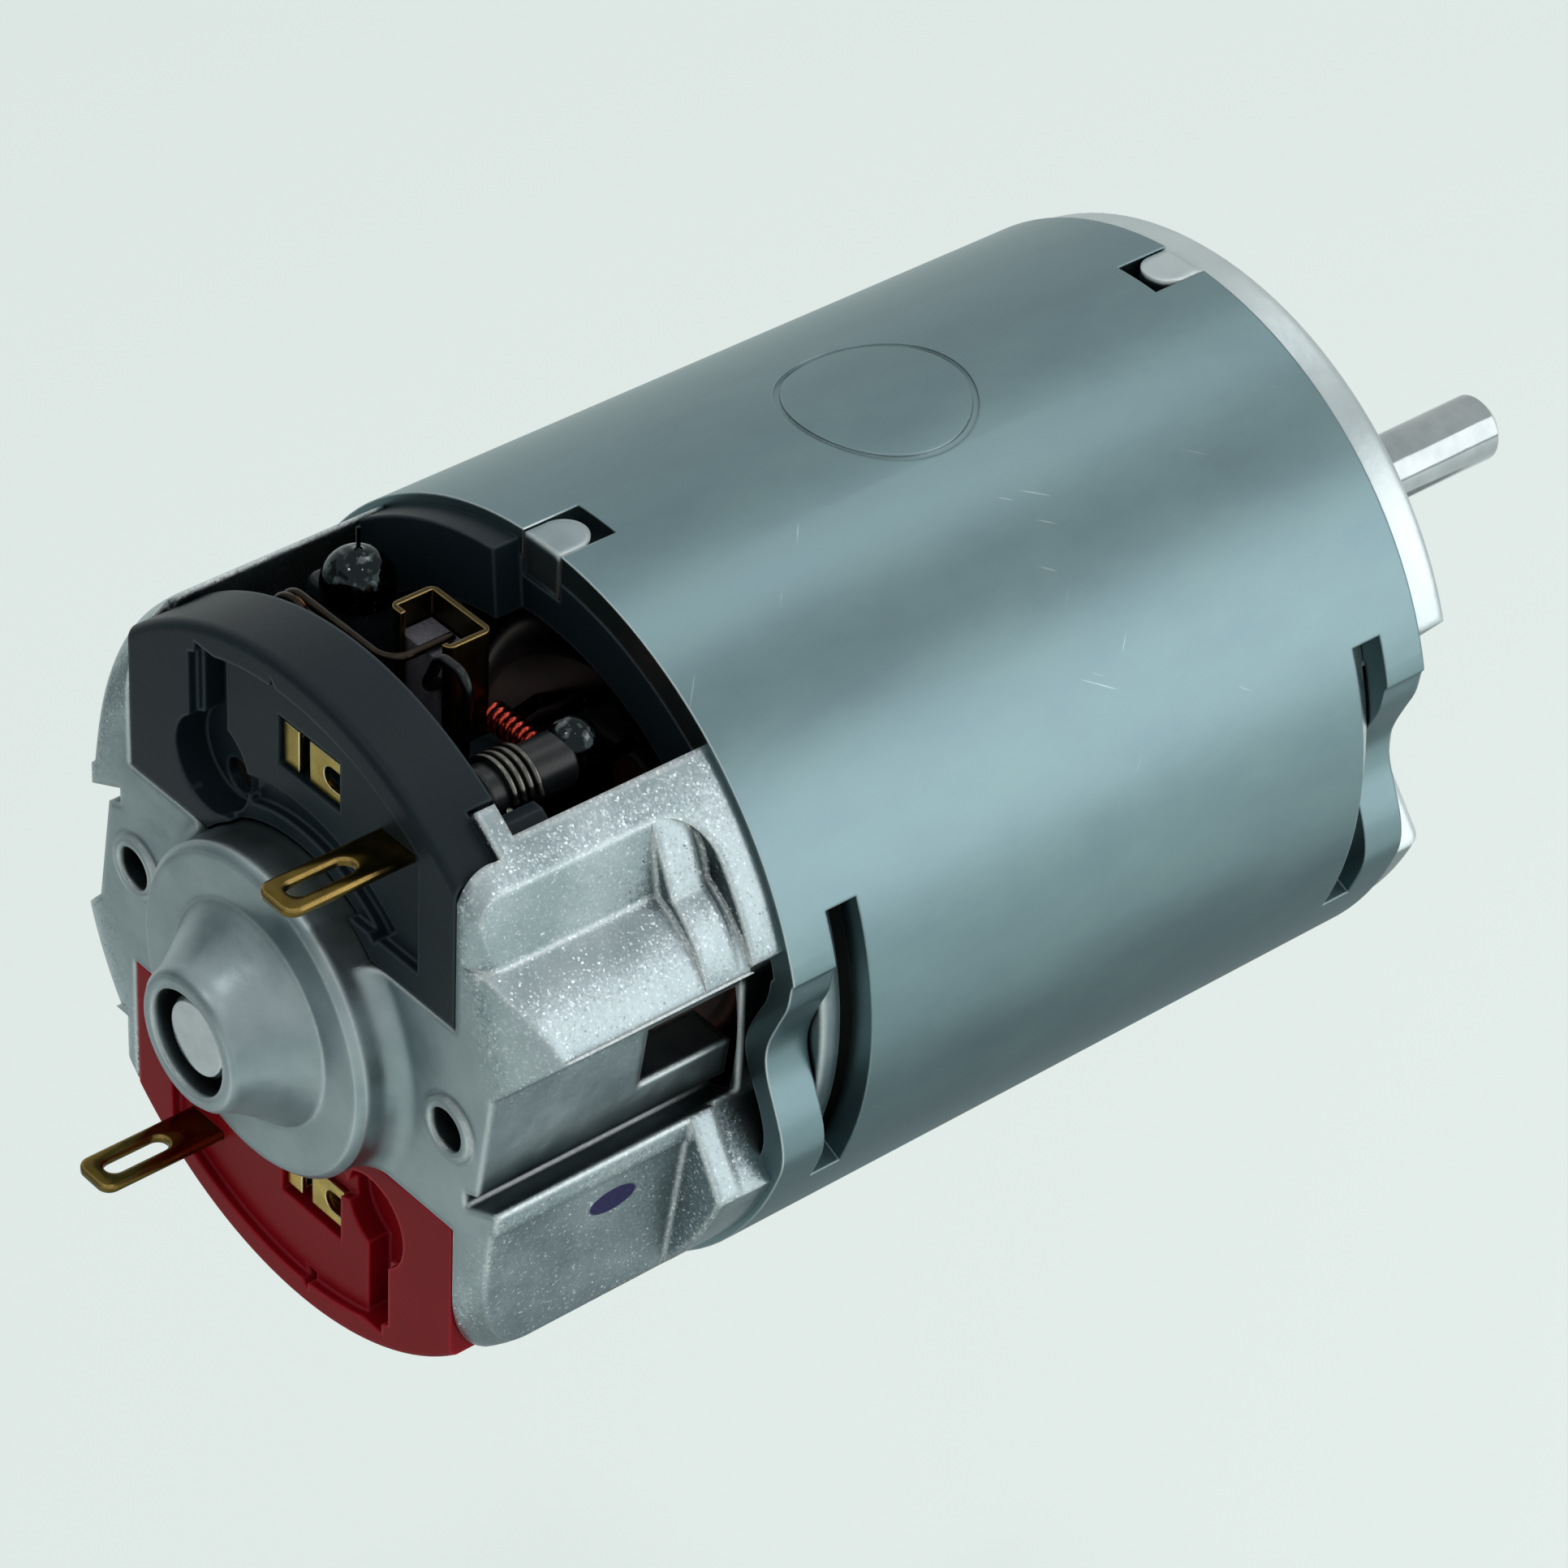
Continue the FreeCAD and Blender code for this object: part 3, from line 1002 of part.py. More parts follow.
# ---- brush holders ----------------------------------------------------------------------
def keyhole():
    """The keyhole recess in a holder's rear face."""
    y_from = HOLDER_REAR_Y - PAST
    y_to = HOLDER_REAR_Y + KEYHOLE_DEPTH
    half = KEYHOLE_SLOT_WIDTH / 2
    slot = block(KEYHOLE_X - half, KEYHOLE_X + half, y_from, y_to, KEYHOLE_Z, KEYHOLE_TOP)
    pin = rod(PIN_HOLE_RADIUS, y_from, HOLDER_WEB_Y + PAST, KEYHOLE_X, KEYHOLE_Z - PIN_HOLE_DROP)
    return slot.fuse([rod(KEYHOLE_RADIUS, y_from, y_to, KEYHOLE_X, KEYHOLE_Z), pin])


def face_recess():
    """The rear face inside the rim lies a little lower."""
    y_from = HOLDER_REAR_Y - PAST
    y_to = HOLDER_REAR_Y + FACE_RECESS_DEPTH
    foot = HOLDER_EDGE + FACE_RECESS_FOOT
    disc = rod(FACE_RECESS_RADIUS, y_from, y_to)
    return disc.common(block(FACE_RECESS_LEFT, FACE_RECESS_RIGHT, y_from, y_to, foot, CAN_RADIUS))


def rim_notch():
    """Small three-cornered moulding mark at the edge of the rear face."""
    size = RIM_NOTCH_SIZE
    z_top = FACE_RECESS_RADIUS + size / 2
    points = [(RIM_NOTCH_X, z_top), (RIM_NOTCH_X + size, z_top - size), (RIM_NOTCH_X, z_top - size)]
    return prism(points, HOLDER_REAR_Y - PAST, HOLDER_REAR_Y + HOLDER_WEB / 2)


def brush_cheeks():
    """Two cheeks on ledges that hold the brush sleeve between them."""
    x_in = SLEEVE_WIDTH / 2 + FIT_GAP
    y_rear = BRUSH_Y - SLEEVE_DEPTH / 2
    y_front = BRUSH_Y + SLEEVE_DEPTH / 2
    cheek = block(x_in, x_in + CHEEK_THICKNESS, y_rear, y_front, CHEEK_FOOT, CHEEK_TOP)
    ledge = block(x_in, LEDGE_REACH, HOLDER_WEB_Y, y_front, CHEEK_FOOT, LEDGE_TOP)
    right = cheek.fuse(ledge)
    return right.fuse(mirrored(right))


def choke_cradle():
    """Block beside the finger of the end shield, with a trough for the choke core."""
    x_out = PILLAR_INNER - CLEAR_GAP
    y_front = HOLDER_RIM_Y + CRADLE_LENGTH
    z_foot = CHOKE_Z - CRADLE_FOOT
    cradle = block(x_out - CRADLE_WIDTH, x_out, HOLDER_WEB_Y, y_front, z_foot, CHOKE_Z + CRADLE_TOP)
    trough = rod(CHOKE_RADIUS + CHOKE_WIRE + CLEAR_GAP, HOLDER_WEB_Y, CAN_REAR_Y, CHOKE_X, CHOKE_Z)
    return cradle.cut(trough).common(rod(HOLDER_RADIUS - FIT_GAP, HOLDER_WEB_Y, CAN_REAR_Y))


def spring_post():
    radius = SPRING_COIL_RADIUS - SPRING_WIRE / 2 - SPRING_POST_GAP
    return rod(radius, HOLDER_WEB_Y, SPRING_FRONT_Y + SPRING_WIRE, SPRING_COIL_X, SPRING_COIL_Z)


def capacitor_bracket():
    """Arm that carries the capacitor beside the brush sleeve."""
    x_left = CAPACITOR_X - CAPACITOR_WIDTH / 2
    y_front = CAN_REAR_Y - CAPACITOR_REACH
    top = CAPACITOR_TOP - CAPACITOR_HEIGHT
    return block(x_left, x_left + CAPACITOR_WIDTH, HOLDER_WEB_Y, y_front, top - BRACKET_THICKNESS, top)


def brush_holder(window_x, window_z):
    """Moulded holder above the shaft: web, rim, recesses, cheeks and posts."""
    half = PILLAR_FLAT - CLEAR_GAP
    rim_half = PILLAR_INNER - CLEAR_GAP
    web = rod(HOLDER_RADIUS, HOLDER_REAR_Y, HOLDER_WEB_Y)
    web = round_edges(web, HOLDER_EDGE_ROUND, lambda edge: edge.BoundBox.YMax < HOLDER_WEB_Y)
    web = web.common(block(-half, half, HOLDER_REAR_Y, HOLDER_WEB_Y, HOLDER_EDGE, CAN_RADIUS))
    rim = ring(HOLDER_RADIUS, HOLDER_RADIUS - HOLDER_RIM_WALL, HOLDER_WEB_Y, HOLDER_RIM_Y)
    rim = rim.common(block(-rim_half, rim_half, HOLDER_WEB_Y, HOLDER_RIM_Y, HOLDER_EDGE, CAN_RADIUS))
    holder = web.fuse([rim, brush_cheeks(), choke_cradle(), spring_post(), capacitor_bracket()])
    y_outside = HOLDER_REAR_Y - PAST
    window = block(*window_x, y_outside, HOLDER_WEB_Y - WINDOW_FLOOR, *window_z)
    slot = sector(DISC_SLOT_OUTER, DISC_SLOT_INNER, DISC_SLOT_FROM, DISC_SLOT_TO,
                  y_outside, HOLDER_REAR_Y + DISC_SLOT_DEPTH)
    finger_room = sector(CAN_RADIUS, SHIELD_RADIUS - FINGER_THICKNESS - CLEAR_GAP,
                         PILLAR_TOP_ANGLE - 2 * FINGER_ROOT, FINGER_ANGLE + 1, HOLDER_WEB_Y, CAN_REAR_Y)
    half_width = TERMINAL_WIDTH / 2
    half_sheet = TERMINAL_THICKNESS / 2
    terminal_slot = block(TERMINAL_X - half_width, TERMINAL_X + half_width, y_outside, HOLDER_RIM_Y,
                          TERMINAL_Z - half_sheet, TERMINAL_Z + half_sheet)
    y_bridge = HOLDER_REAR_Y + BRIDGE_THICKNESS + CLEAR_GAP
    disc_room = rod(DISC_RADIUS + CLEAR_GAP, y_outside, y_bridge)
    cuts = [window, slot, keyhole(), face_recess(), rim_notch(), finger_room, terminal_slot, disc_room]
    return holder.cut(cuts)


# ---- terminals and contacts -------------------------------------------------------------
def terminal():
    """Brass blade with a slotted hole and a narrowed tip."""
    y_tip = HOLDER_REAR_Y - TERMINAL_REACH
    y_inner = HOLDER_REAR_Y + TERMINAL_INNER
    half = TERMINAL_WIDTH / 2
    points = [
        (TERMINAL_X - half, y_inner), (TERMINAL_X - half, y_tip + TERMINAL_TIP),
        (TERMINAL_X - half + TERMINAL_TIP, y_tip), (TERMINAL_X + half - TERMINAL_TIP, y_tip),
        (TERMINAL_X + half, y_tip + TERMINAL_TIP), (TERMINAL_X + half, y_inner),
    ]
    z_low = TERMINAL_Z - TERMINAL_THICKNESS / 2
    corners = [Vector(x, y, z_low) for x, y in points]
    blade = Part.Face(Part.makePolygon(corners + corners[:1])).extrude(Vector(0, 0, TERMINAL_THICKNESS))
    hole_y = y_tip + TERMINAL_HOLE_PLACE
    radius = TERMINAL_HOLE_WIDTH / 2
    straight = TERMINAL_HOLE_LENGTH / 2 - radius
    ends = (hole_y - straight, hole_y + straight)
    z_high = z_low + TERMINAL_THICKNESS
    hole = block(TERMINAL_X - radius, TERMINAL_X + radius, ends[0], ends[1], z_low, z_high)
    for y in ends:
        hole = hole.fuse(Part.makeCylinder(radius, TERMINAL_THICKNESS, Vector(TERMINAL_X, y, z_low)))
    return blade.cut(hole)


def contact_clip(window_z):
    """Brass clip seen through the holder's window: two strips bent over to one back."""
    z_low = window_z[0] + CLEAR_GAP
    z_high = window_z[1] - CONTACT_HEAD_GAP
    y_from = HOLDER_REAR_Y + CONTACT_SETBACK
    y_to = y_from + CONTACT_SHEET
    y_floor = HOLDER_WEB_Y - WINDOW_FLOOR
    left = CONTACT_STRIPS[0][0]
    right = CONTACT_STRIPS[-1][1]
    clip = block(left, right, y_floor - CONTACT_SHEET, y_floor, z_high - CONTACT_BACK, z_high)
    for x_from, x_to in CONTACT_STRIPS:
        strip = block(x_from, x_to, y_from, y_to, z_low, z_high)
        leg = block(x_from, x_to, y_from, y_floor, z_high - CONTACT_SHEET, z_high)
        clip = clip.fuse([strip, leg])
    radius = CONTACT_NOTCH_RADIUS
    middle = (z_low + z_high) / 2
    notch_end = rod(radius, y_from, y_to, CONTACT_NOTCH_X, middle)
    open_side = block(CONTACT_NOTCH_X, right, y_from, y_to, middle - radius, middle + radius)
    return clip.cut([notch_end, open_side])


# ---- brushes ----------------------------------------------------------------------------
def brush_box(width, depth, z_from, z_to):
    """A box along Z about the brush's line."""
    return block(-width / 2, width / 2, BRUSH_Y - depth / 2, BRUSH_Y + depth / 2, z_from, z_to)


def brush_sleeve():
    """Folded brass tube that the brush slides in, slotted at the rear for the spring."""
    outside = brush_box(SLEEVE_WIDTH, SLEEVE_DEPTH, SLEEVE_FOOT, SLEEVE_TOP)
    upright = [edge for edge in outside.Edges if edge.BoundBox.ZLength > SLEEVE_CORNER]
    outside = outside.makeFillet(SLEEVE_CORNER, upright)
    inner_width = SLEEVE_WIDTH - 2 * SLEEVE_SHEET
    inside = brush_box(inner_width, SLEEVE_DEPTH - 2 * SLEEVE_SHEET, SLEEVE_FOOT, SLEEVE_TOP)
    slot = block(SLEEVE_SLOT_FROM, SLEEVE_SLOT_TO, BRUSH_Y - SLEEVE_DEPTH, BRUSH_Y,
                 SLEEVE_SLOT_FOOT, SLEEVE_TOP)
    return outside.cut([inside, slot])


def brush():
    """Carbon block whose inner end is hollowed to the commutator."""
    width = SLEEVE_WIDTH - 2 * SLEEVE_SHEET - 2 * BRUSH_PLAY
    depth = SLEEVE_DEPTH - 2 * SLEEVE_SHEET - 2 * BRUSH_PLAY
    carbon = brush_box(width, depth, COMMUTATOR_RADIUS / 2, BRUSH_TOP)
    return carbon.cut(rod(COMMUTATOR_RADIUS + BRUSH_GAP, BRUSH_Y - depth, BRUSH_Y + depth))


def pigtail():
    """Flexible lead that arches from the back of a brush over to its ledge."""
    y_brush = BRUSH_Y - SLEEVE_DEPTH / 2 + SLEEVE_SHEET + BRUSH_PLAY
    y_behind = BRUSH_Y - PIGTAIL_BEHIND
    z_start = BRUSH_TOP - PIGTAIL_START_DROP
    points = [
        (PIGTAIL_START_X, y_brush, z_start), (PIGTAIL_START_X, y_behind, z_start),
        (PIGTAIL_RISE_X, y_behind, PIGTAIL_TOP), (PIGTAIL_FALL_X, y_behind, PIGTAIL_TOP),
        (PIGTAIL_FOOT_X, y_behind, LEDGE_TOP + CLEAR_GAP),
    ]
    return wire_rod(points, PIGTAIL_RADIUS, PIGTAIL_BEND)


def brush_spring():
    """Torsion spring of one wire: a hook on the brush, an arm, and a coil on its post."""
    points = [
        (SPRING_TIP_X, BRUSH_Y + SPRING_HOOK, SPRING_ARM_Z), (SPRING_TIP_X, SPRING_FRONT_Y, SPRING_ARM_Z),
    ]
    corner_radius = SPRING_COIL_RADIUS / math.cos(math.pi / COIL_POINTS)
    for index in range(SPRING_TURNS * COIL_POINTS):
        share = (index + 0.5) / COIL_POINTS
        turn = 2 * math.pi * share
        x = SPRING_COIL_X - corner_radius * math.sin(turn)
        z = SPRING_COIL_Z + corner_radius * math.cos(turn)
        points.append((x, SPRING_FRONT_Y - SPRING_PITCH * share, z))
    return wire_rod(points, SPRING_WIRE / 2, COIL_BEND * SPRING_COIL_RADIUS)


# ---- suppression parts ------------------------------------------------------------------
def choke_core():
    core = rod(CHOKE_RADIUS, CAN_REAR_Y - CHOKE_REAR, CAN_REAR_Y - CHOKE_FRONT, CHOKE_X, CHOKE_Z)
    return round_edges(core, CHOKE_EDGE, lambda edge: edge.Closed)


def choke_winding():
    radius = CHOKE_WIRE / 2
    turns = coil(radius, CHOKE_RADIUS + radius + WINDING_GAP, CHOKE_PITCH, CHOKE_TURNS)
    return lay_along_y(turns, CHOKE_X, CAN_REAR_Y - CHOKE_REAR + CHOKE_MARGIN, CHOKE_Z)


def cross_coil():
    """Small coil of enamelled wire between the choke and the brush sleeve."""
    pitch = (COIL_TO - COIL_FROM) / COIL_TURNS
    turns = coil(COIL_WIRE / 2, COIL_RADIUS, pitch, COIL_TURNS)
    turns.rotate(ORIGIN, Vector(0, 1, 0), 90.0)
    turns.translate(Vector(COIL_FROM, CAN_REAR_Y - COIL_REACH, COIL_Z))
    return turns


def capacitor():
    """Dipped block capacitor on its bracket."""
    half = CAPACITOR_WIDTH / 2
    y_front = CAN_REAR_Y - CAPACITOR_REACH + CAPACITOR_DEPTH / 2
    body = block(CAPACITOR_X - half, CAPACITOR_X + half, y_front - CAPACITOR_DEPTH, y_front,
                 CAPACITOR_TOP - CAPACITOR_HEIGHT, CAPACITOR_TOP)
    return body.makeFillet(CAPACITOR_EDGE, body.Edges)


def solder_joints():
    """Two beads of solder: one on the choke's front end, one on the capacitor."""
    choke_front = CAN_REAR_Y - CHOKE_FRONT
    bead = Part.makeSphere(SOLDER_RADIUS, Vector(CHOKE_X, choke_front + SOLDER_RISE, CHOKE_Z))
    bead = bead.cut(rod(CHOKE_RADIUS, choke_front - CHOKE_RADIUS, choke_front, CHOKE_X, CHOKE_Z))
    capacitor_y = CAN_REAR_Y - CAPACITOR_REACH
    dome = Part.makeSphere(DOME_RADIUS, Vector(CAPACITOR_X, capacitor_y, CAPACITOR_TOP - DOME_DROP))
    above = block(CAPACITOR_X - DOME_RADIUS, CAPACITOR_X + DOME_RADIUS, capacitor_y - DOME_RADIUS,
                  capacitor_y + DOME_RADIUS, CAPACITOR_TOP, CAN_RADIUS)
    return Part.makeCompound([bead, dome.common(above)])


def insulating_arc():
    """Plastic arc in the mouth of the can, between the pillars."""
    y_front = CAN_REAR_Y + INSULATOR_ARC_THICKNESS
    y_raised = CAN_REAR_Y - INSULATOR_RAISED_HEIGHT
    arc = ring(SPIGOT_RADIUS, INSULATOR_ARC_INNER, CAN_REAR_Y, y_front)
    half = PILLAR_INNER - CLEAR_GAP
    arc = arc.common(block(-half, half, CAN_REAR_Y, y_front, 0, CAN_RADIUS))
    raised = sector(INSULATOR_RAISED_RADIUS, INSULATOR_ARC_INNER, INSULATOR_RAISED_FROM,
                    INSULATOR_RAISED_TO, y_raised, CAN_REAR_Y)
    raised = raised.common(block(-half, half, y_raised, CAN_REAR_Y, 0, CAN_RADIUS))
    half_lug = NOTCH_WIDTH / 2
    lug_foot = SPIGOT_RADIUS - LUG_ROOT - CLEAR_GAP
    lug_room = block(-half_lug, half_lug, y_raised, y_front, lug_foot, CAN_RADIUS)
    return arc.fuse(raised).cut(lug_room)


# ---- all sub-parts ----------------------------------------------------------------------
PARTS = {
    "motor_can": motor_can(),
    "front_end_shield": front_end_shield(),
    "rear_end_shield": rear_end_shield(),
    "left_magnet": opposite(magnet()),
    "right_magnet": magnet(),
    "upper_magnet_spring": magnet_spring(),
    "lower_magnet_spring": opposite(magnet_spring()),
    "front_bush": bush(FRONT_BUSH_Y),
    "rear_bush": bush(REAR_BUSH_Y),
    "front_oil_felt": oil_felt(FRONT_BUSH_Y, -1),
    "rear_oil_felt": oil_felt(REAR_BUSH_Y, 1),
    "front_bush_clip": bush_clip(FRONT_BUSH_Y, -1),
    "rear_bush_clip": bush_clip(REAR_BUSH_Y, 1),
    "motor_shaft": motor_shaft(),
    "armature_core": armature_core(),
    "armature_windings": armature_windings(),
    "front_end_insulator": end_insulator(CORE_FRONT_Y, CORE_FRONT_Y + INSULATOR_THICKNESS),
    "rear_end_insulator": end_insulator(CORE_REAR_Y - INSULATOR_THICKNESS, CORE_REAR_Y),
    "commutator_segments": commutator_segments(),
    "commutator_hub": commutator_hub(),
    "front_spacer": front_spacer(),
    "rear_spacer": rear_spacer(),
    "front_thrust_washer": front_thrust_washer(),
    "rear_thrust_washer": rear_thrust_washer(),
    "upper_brush_holder": brush_holder((WINDOW_LEFT, WINDOW_RIGHT), UPPER_WINDOW_Z),
    "lower_brush_holder": opposite(brush_holder((-WINDOW_RIGHT, -WINDOW_LEFT), LOWER_WINDOW_Z)),
    "upper_contact_clip": contact_clip(UPPER_WINDOW_Z),
    "lower_contact_clip": opposite(mirrored(contact_clip(LOWER_WINDOW_Z))),
}

# What the upper and the lower brush gear both have, made above the shaft.
BRUSH_GEAR = {
    "terminal": terminal,
    "brush_sleeve": brush_sleeve,
    "brush": brush,
    "pigtail": pigtail,
    "brush_spring": brush_spring,
    "choke_core": choke_core,
    "choke_winding": choke_winding,
    "cross_coil": cross_coil,
    "capacitor": capacitor,
    "solder_joints": solder_joints,
    "insulating_arc": insulating_arc,
}
for name, make in BRUSH_GEAR.items():
    PARTS["upper_" + name] = make()
    PARTS["lower_" + name] = opposite(make())

os.makedirs("parts", exist_ok=True)
for name, shape in PARTS.items():
    shape.exportStep("parts/" + name + ".step")
    print(name, "solids", len(shape.Solids), "volume", round(shape.Volume, 1), "valid", shape.isValid())
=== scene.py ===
# %% [markdown]
# # A small electric motor
# The motor comes from its construction model as a fixed frame: every casting, sheet and wire
# already has its true size and place. This lesson gives each of them its finish, adds the
# pieces that only the eye needs, and sets up the camera, the floor and the light.

# %% Load the frame
import math
import bpy
from mathutils import Matrix, Vector


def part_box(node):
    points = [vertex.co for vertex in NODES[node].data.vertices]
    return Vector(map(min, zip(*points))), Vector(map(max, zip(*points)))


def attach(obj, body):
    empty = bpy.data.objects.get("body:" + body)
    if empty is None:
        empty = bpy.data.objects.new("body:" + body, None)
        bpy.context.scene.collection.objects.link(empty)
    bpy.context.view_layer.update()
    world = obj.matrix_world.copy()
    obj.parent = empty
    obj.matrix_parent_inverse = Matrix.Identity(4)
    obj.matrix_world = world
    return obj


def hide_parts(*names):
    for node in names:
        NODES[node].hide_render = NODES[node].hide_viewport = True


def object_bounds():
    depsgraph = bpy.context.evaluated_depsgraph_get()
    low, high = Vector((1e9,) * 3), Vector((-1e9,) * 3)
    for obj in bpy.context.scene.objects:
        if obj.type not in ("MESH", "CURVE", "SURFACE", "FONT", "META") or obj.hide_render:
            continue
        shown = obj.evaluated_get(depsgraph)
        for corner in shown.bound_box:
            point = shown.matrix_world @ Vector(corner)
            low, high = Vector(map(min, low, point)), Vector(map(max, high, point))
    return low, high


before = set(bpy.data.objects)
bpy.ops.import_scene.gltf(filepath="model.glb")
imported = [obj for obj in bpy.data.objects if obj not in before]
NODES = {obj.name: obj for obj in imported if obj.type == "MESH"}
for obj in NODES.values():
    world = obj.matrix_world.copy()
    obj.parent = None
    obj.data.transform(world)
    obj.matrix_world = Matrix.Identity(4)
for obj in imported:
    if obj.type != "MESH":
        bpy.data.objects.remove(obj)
cad_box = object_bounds()
MM = 0.001
print(len(NODES), "nodes in a box of", [round(side / MM, 1) for side in (cad_box[1] - cad_box[0])])

# %% [markdown]
# The camera stands behind the brush end, to the right and above, at a long focal length, as
# for a catalogue. Its place is worked out from one point of the motor that it frames: the
# centre of the can's rear rim, with its pixel in a square picture.

# %% Camera
PICTURE = 1932                      # side of the square picture, in pixels
FOCAL = 7740                        # focal length, in the same pixels
SENSOR = 36.0                       # mm
AZIMUTH = math.radians(47.85)
ELEVATION = math.radians(37.17)
ROLL = math.radians(2.96)
DISTANCE = 322.64 * MM
RIM_PIXEL = (658.93, 1080.4)

rim_centre = Vector((0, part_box("motor_can")[0].y, 0))
back = Vector((math.sin(AZIMUTH) * math.cos(ELEVATION), -math.cos(AZIMUTH) * math.cos(ELEVATION),
               math.sin(ELEVATION)))
level = Vector((0, 0, 1)).cross(back).normalized()
upright = back.cross(level)
right = level * math.cos(ROLL) + upright * math.sin(ROLL)
up = upright * math.cos(ROLL) - level * math.sin(ROLL)
across = (RIM_PIXEL[0] - PICTURE / 2) / FOCAL * DISTANCE
below = (RIM_PIXEL[1] - PICTURE / 2) / FOCAL * DISTANCE
eye = rim_centre + back * DISTANCE - right * across + up * below

camera_data = bpy.data.cameras.new("camera")
camera_data.lens = FOCAL / PICTURE * SENSOR
camera_data.sensor_width = SENSOR
camera_data.clip_start = 10 * MM
camera = bpy.data.objects.new("camera", camera_data)
bpy.context.scene.collection.objects.link(camera)
turned = Matrix((right, up, back)).transposed()
camera.matrix_world = Matrix.LocRotScale(eye, turned.to_quaternion(), None)
bpy.context.scene.camera = camera
print("lens", round(camera_data.lens, 1), "mm, eye at", [round(side / MM) for side in eye])

# %% [markdown]
# Every finish below is a small tree of nodes around one shader. Colours are written as they
# look on a screen, so one function turns them into the linear values that the shader wants,
# and one function adds a node with its settings and links.
#
# Where a node has several sockets of one name, they are given by their number. A Map Range
# turns the span from socket 1 to socket 2 into the span from 3 to 4, which is 0 to 1 unless it
# is set. A Mix of colours has its factor at 0, its two colours at 6 and 7, and its result at
# output 2. A Mix of numbers has the two at 2 and 3, and its result at output 0.

# %% Helpers for the finishes
def colour(code):
    """A linear colour from a screen colour such as #8a9a9c."""
    levels = [int(code[start:start + 2], 16) / 255 for start in (1, 3, 5)]
    linear = [level / 12.92 if level <= 0.04045 else ((level + 0.055) / 1.055) ** 2.4
              for level in levels]
    return (*linear, 1.0)


def per_metre(size_mm):
    """The texture scale that gives a pattern of this size."""
    return 1 / (size_mm * MM)


def add(tree, kind, sockets=None, **settings):
    """Adds a shader node: its settings, then its sockets, each a value, a node or an output."""
    node = tree.nodes.new("ShaderNode" + kind)
    for name, value in settings.items():
        setattr(node, name, value)
    for socket, value in (sockets or {}).items():
        if isinstance(value, bpy.types.Node):
            value = value.outputs[0]
        if isinstance(value, bpy.types.NodeSocket):
            tree.links.new(value, node.inputs[socket])
        else:
            node.inputs[socket].default_value = value
    return node


def new_finish(name, **sockets):
    """A material with one shader, and the object coordinates that its patterns read."""
    material = bpy.data.materials.new(name)
    material.use_nodes = True
    tree = material.node_tree
    shader = tree.nodes["Principled BSDF"]
    for socket, value in sockets.items():
        shader.inputs[socket.replace("_", " ")].default_value = value
    place = add(tree, "TexCoord").outputs["Object"]
    return material, tree, shader, place


EDGE_FROM = 0.995                   # how well both normals agree where an edge starts to show
EDGE_FULL = 0.9


def worn_edges(tree, radius_mm):
    """A normal that rolls over sharp edges, and a mask that is 1 along such an edge."""
    rolled = add(tree, "Bevel", {"Radius": radius_mm * MM}, samples=6)
    normal = add(tree, "NewGeometry").outputs["Normal"]
    agreement = add(tree, "VectorMath", {0: rolled, 1: normal},
                    operation="DOT_PRODUCT").outputs["Value"]
    mask = add(tree, "MapRange", {0: agreement, 1: EDGE_FROM, 2: EDGE_FULL})
    return rolled, mask


def wear_finish(material, *names):
    """Gives CAD nodes a finish."""
    for name in names:
        slots = NODES[name].data.materials
        slots.clear()
        slots.append(material)


def both(part):
    """The upper and the lower piece of that name."""
    return "upper_" + part, "lower_" + part


# %% [markdown]
# The can is deep-drawn from zinc-coated steel sheet. The zinc gives a cool grey with soft
# cloudy patches and a satin shine that is a little duller in some clouds than in others, and
# handling leaves a few fine bright scratches in two directions. Its patterns are laid out on
# the unrolled sheet: the way round the can is one coordinate and the way along it is the
# other. The cut rim at the rear end is worn bright and painted paler still as a painted
# highlight, and other edges get only a little of both.

# %% Galvanised steel
CLOUD = 4.0                         # mm across one cloud of the zinc
HANDLED = 9.0                       # mm across a patch where fingers and tools have been
SCRATCH = 0.3                       # mm across a scratch, coarser than a real one so that it shows
SCRATCH_SHAPE = (1, 0.06, 1)        # how far a scratch is drawn out
SCRATCH_ANGLES = (35, -50)
# The bright rim below is partly wear and partly a painted highlight.
RIM_FROM, RIM_TO = 1.0, 3.0         # mm from the can's rear end, where the bright wear fades


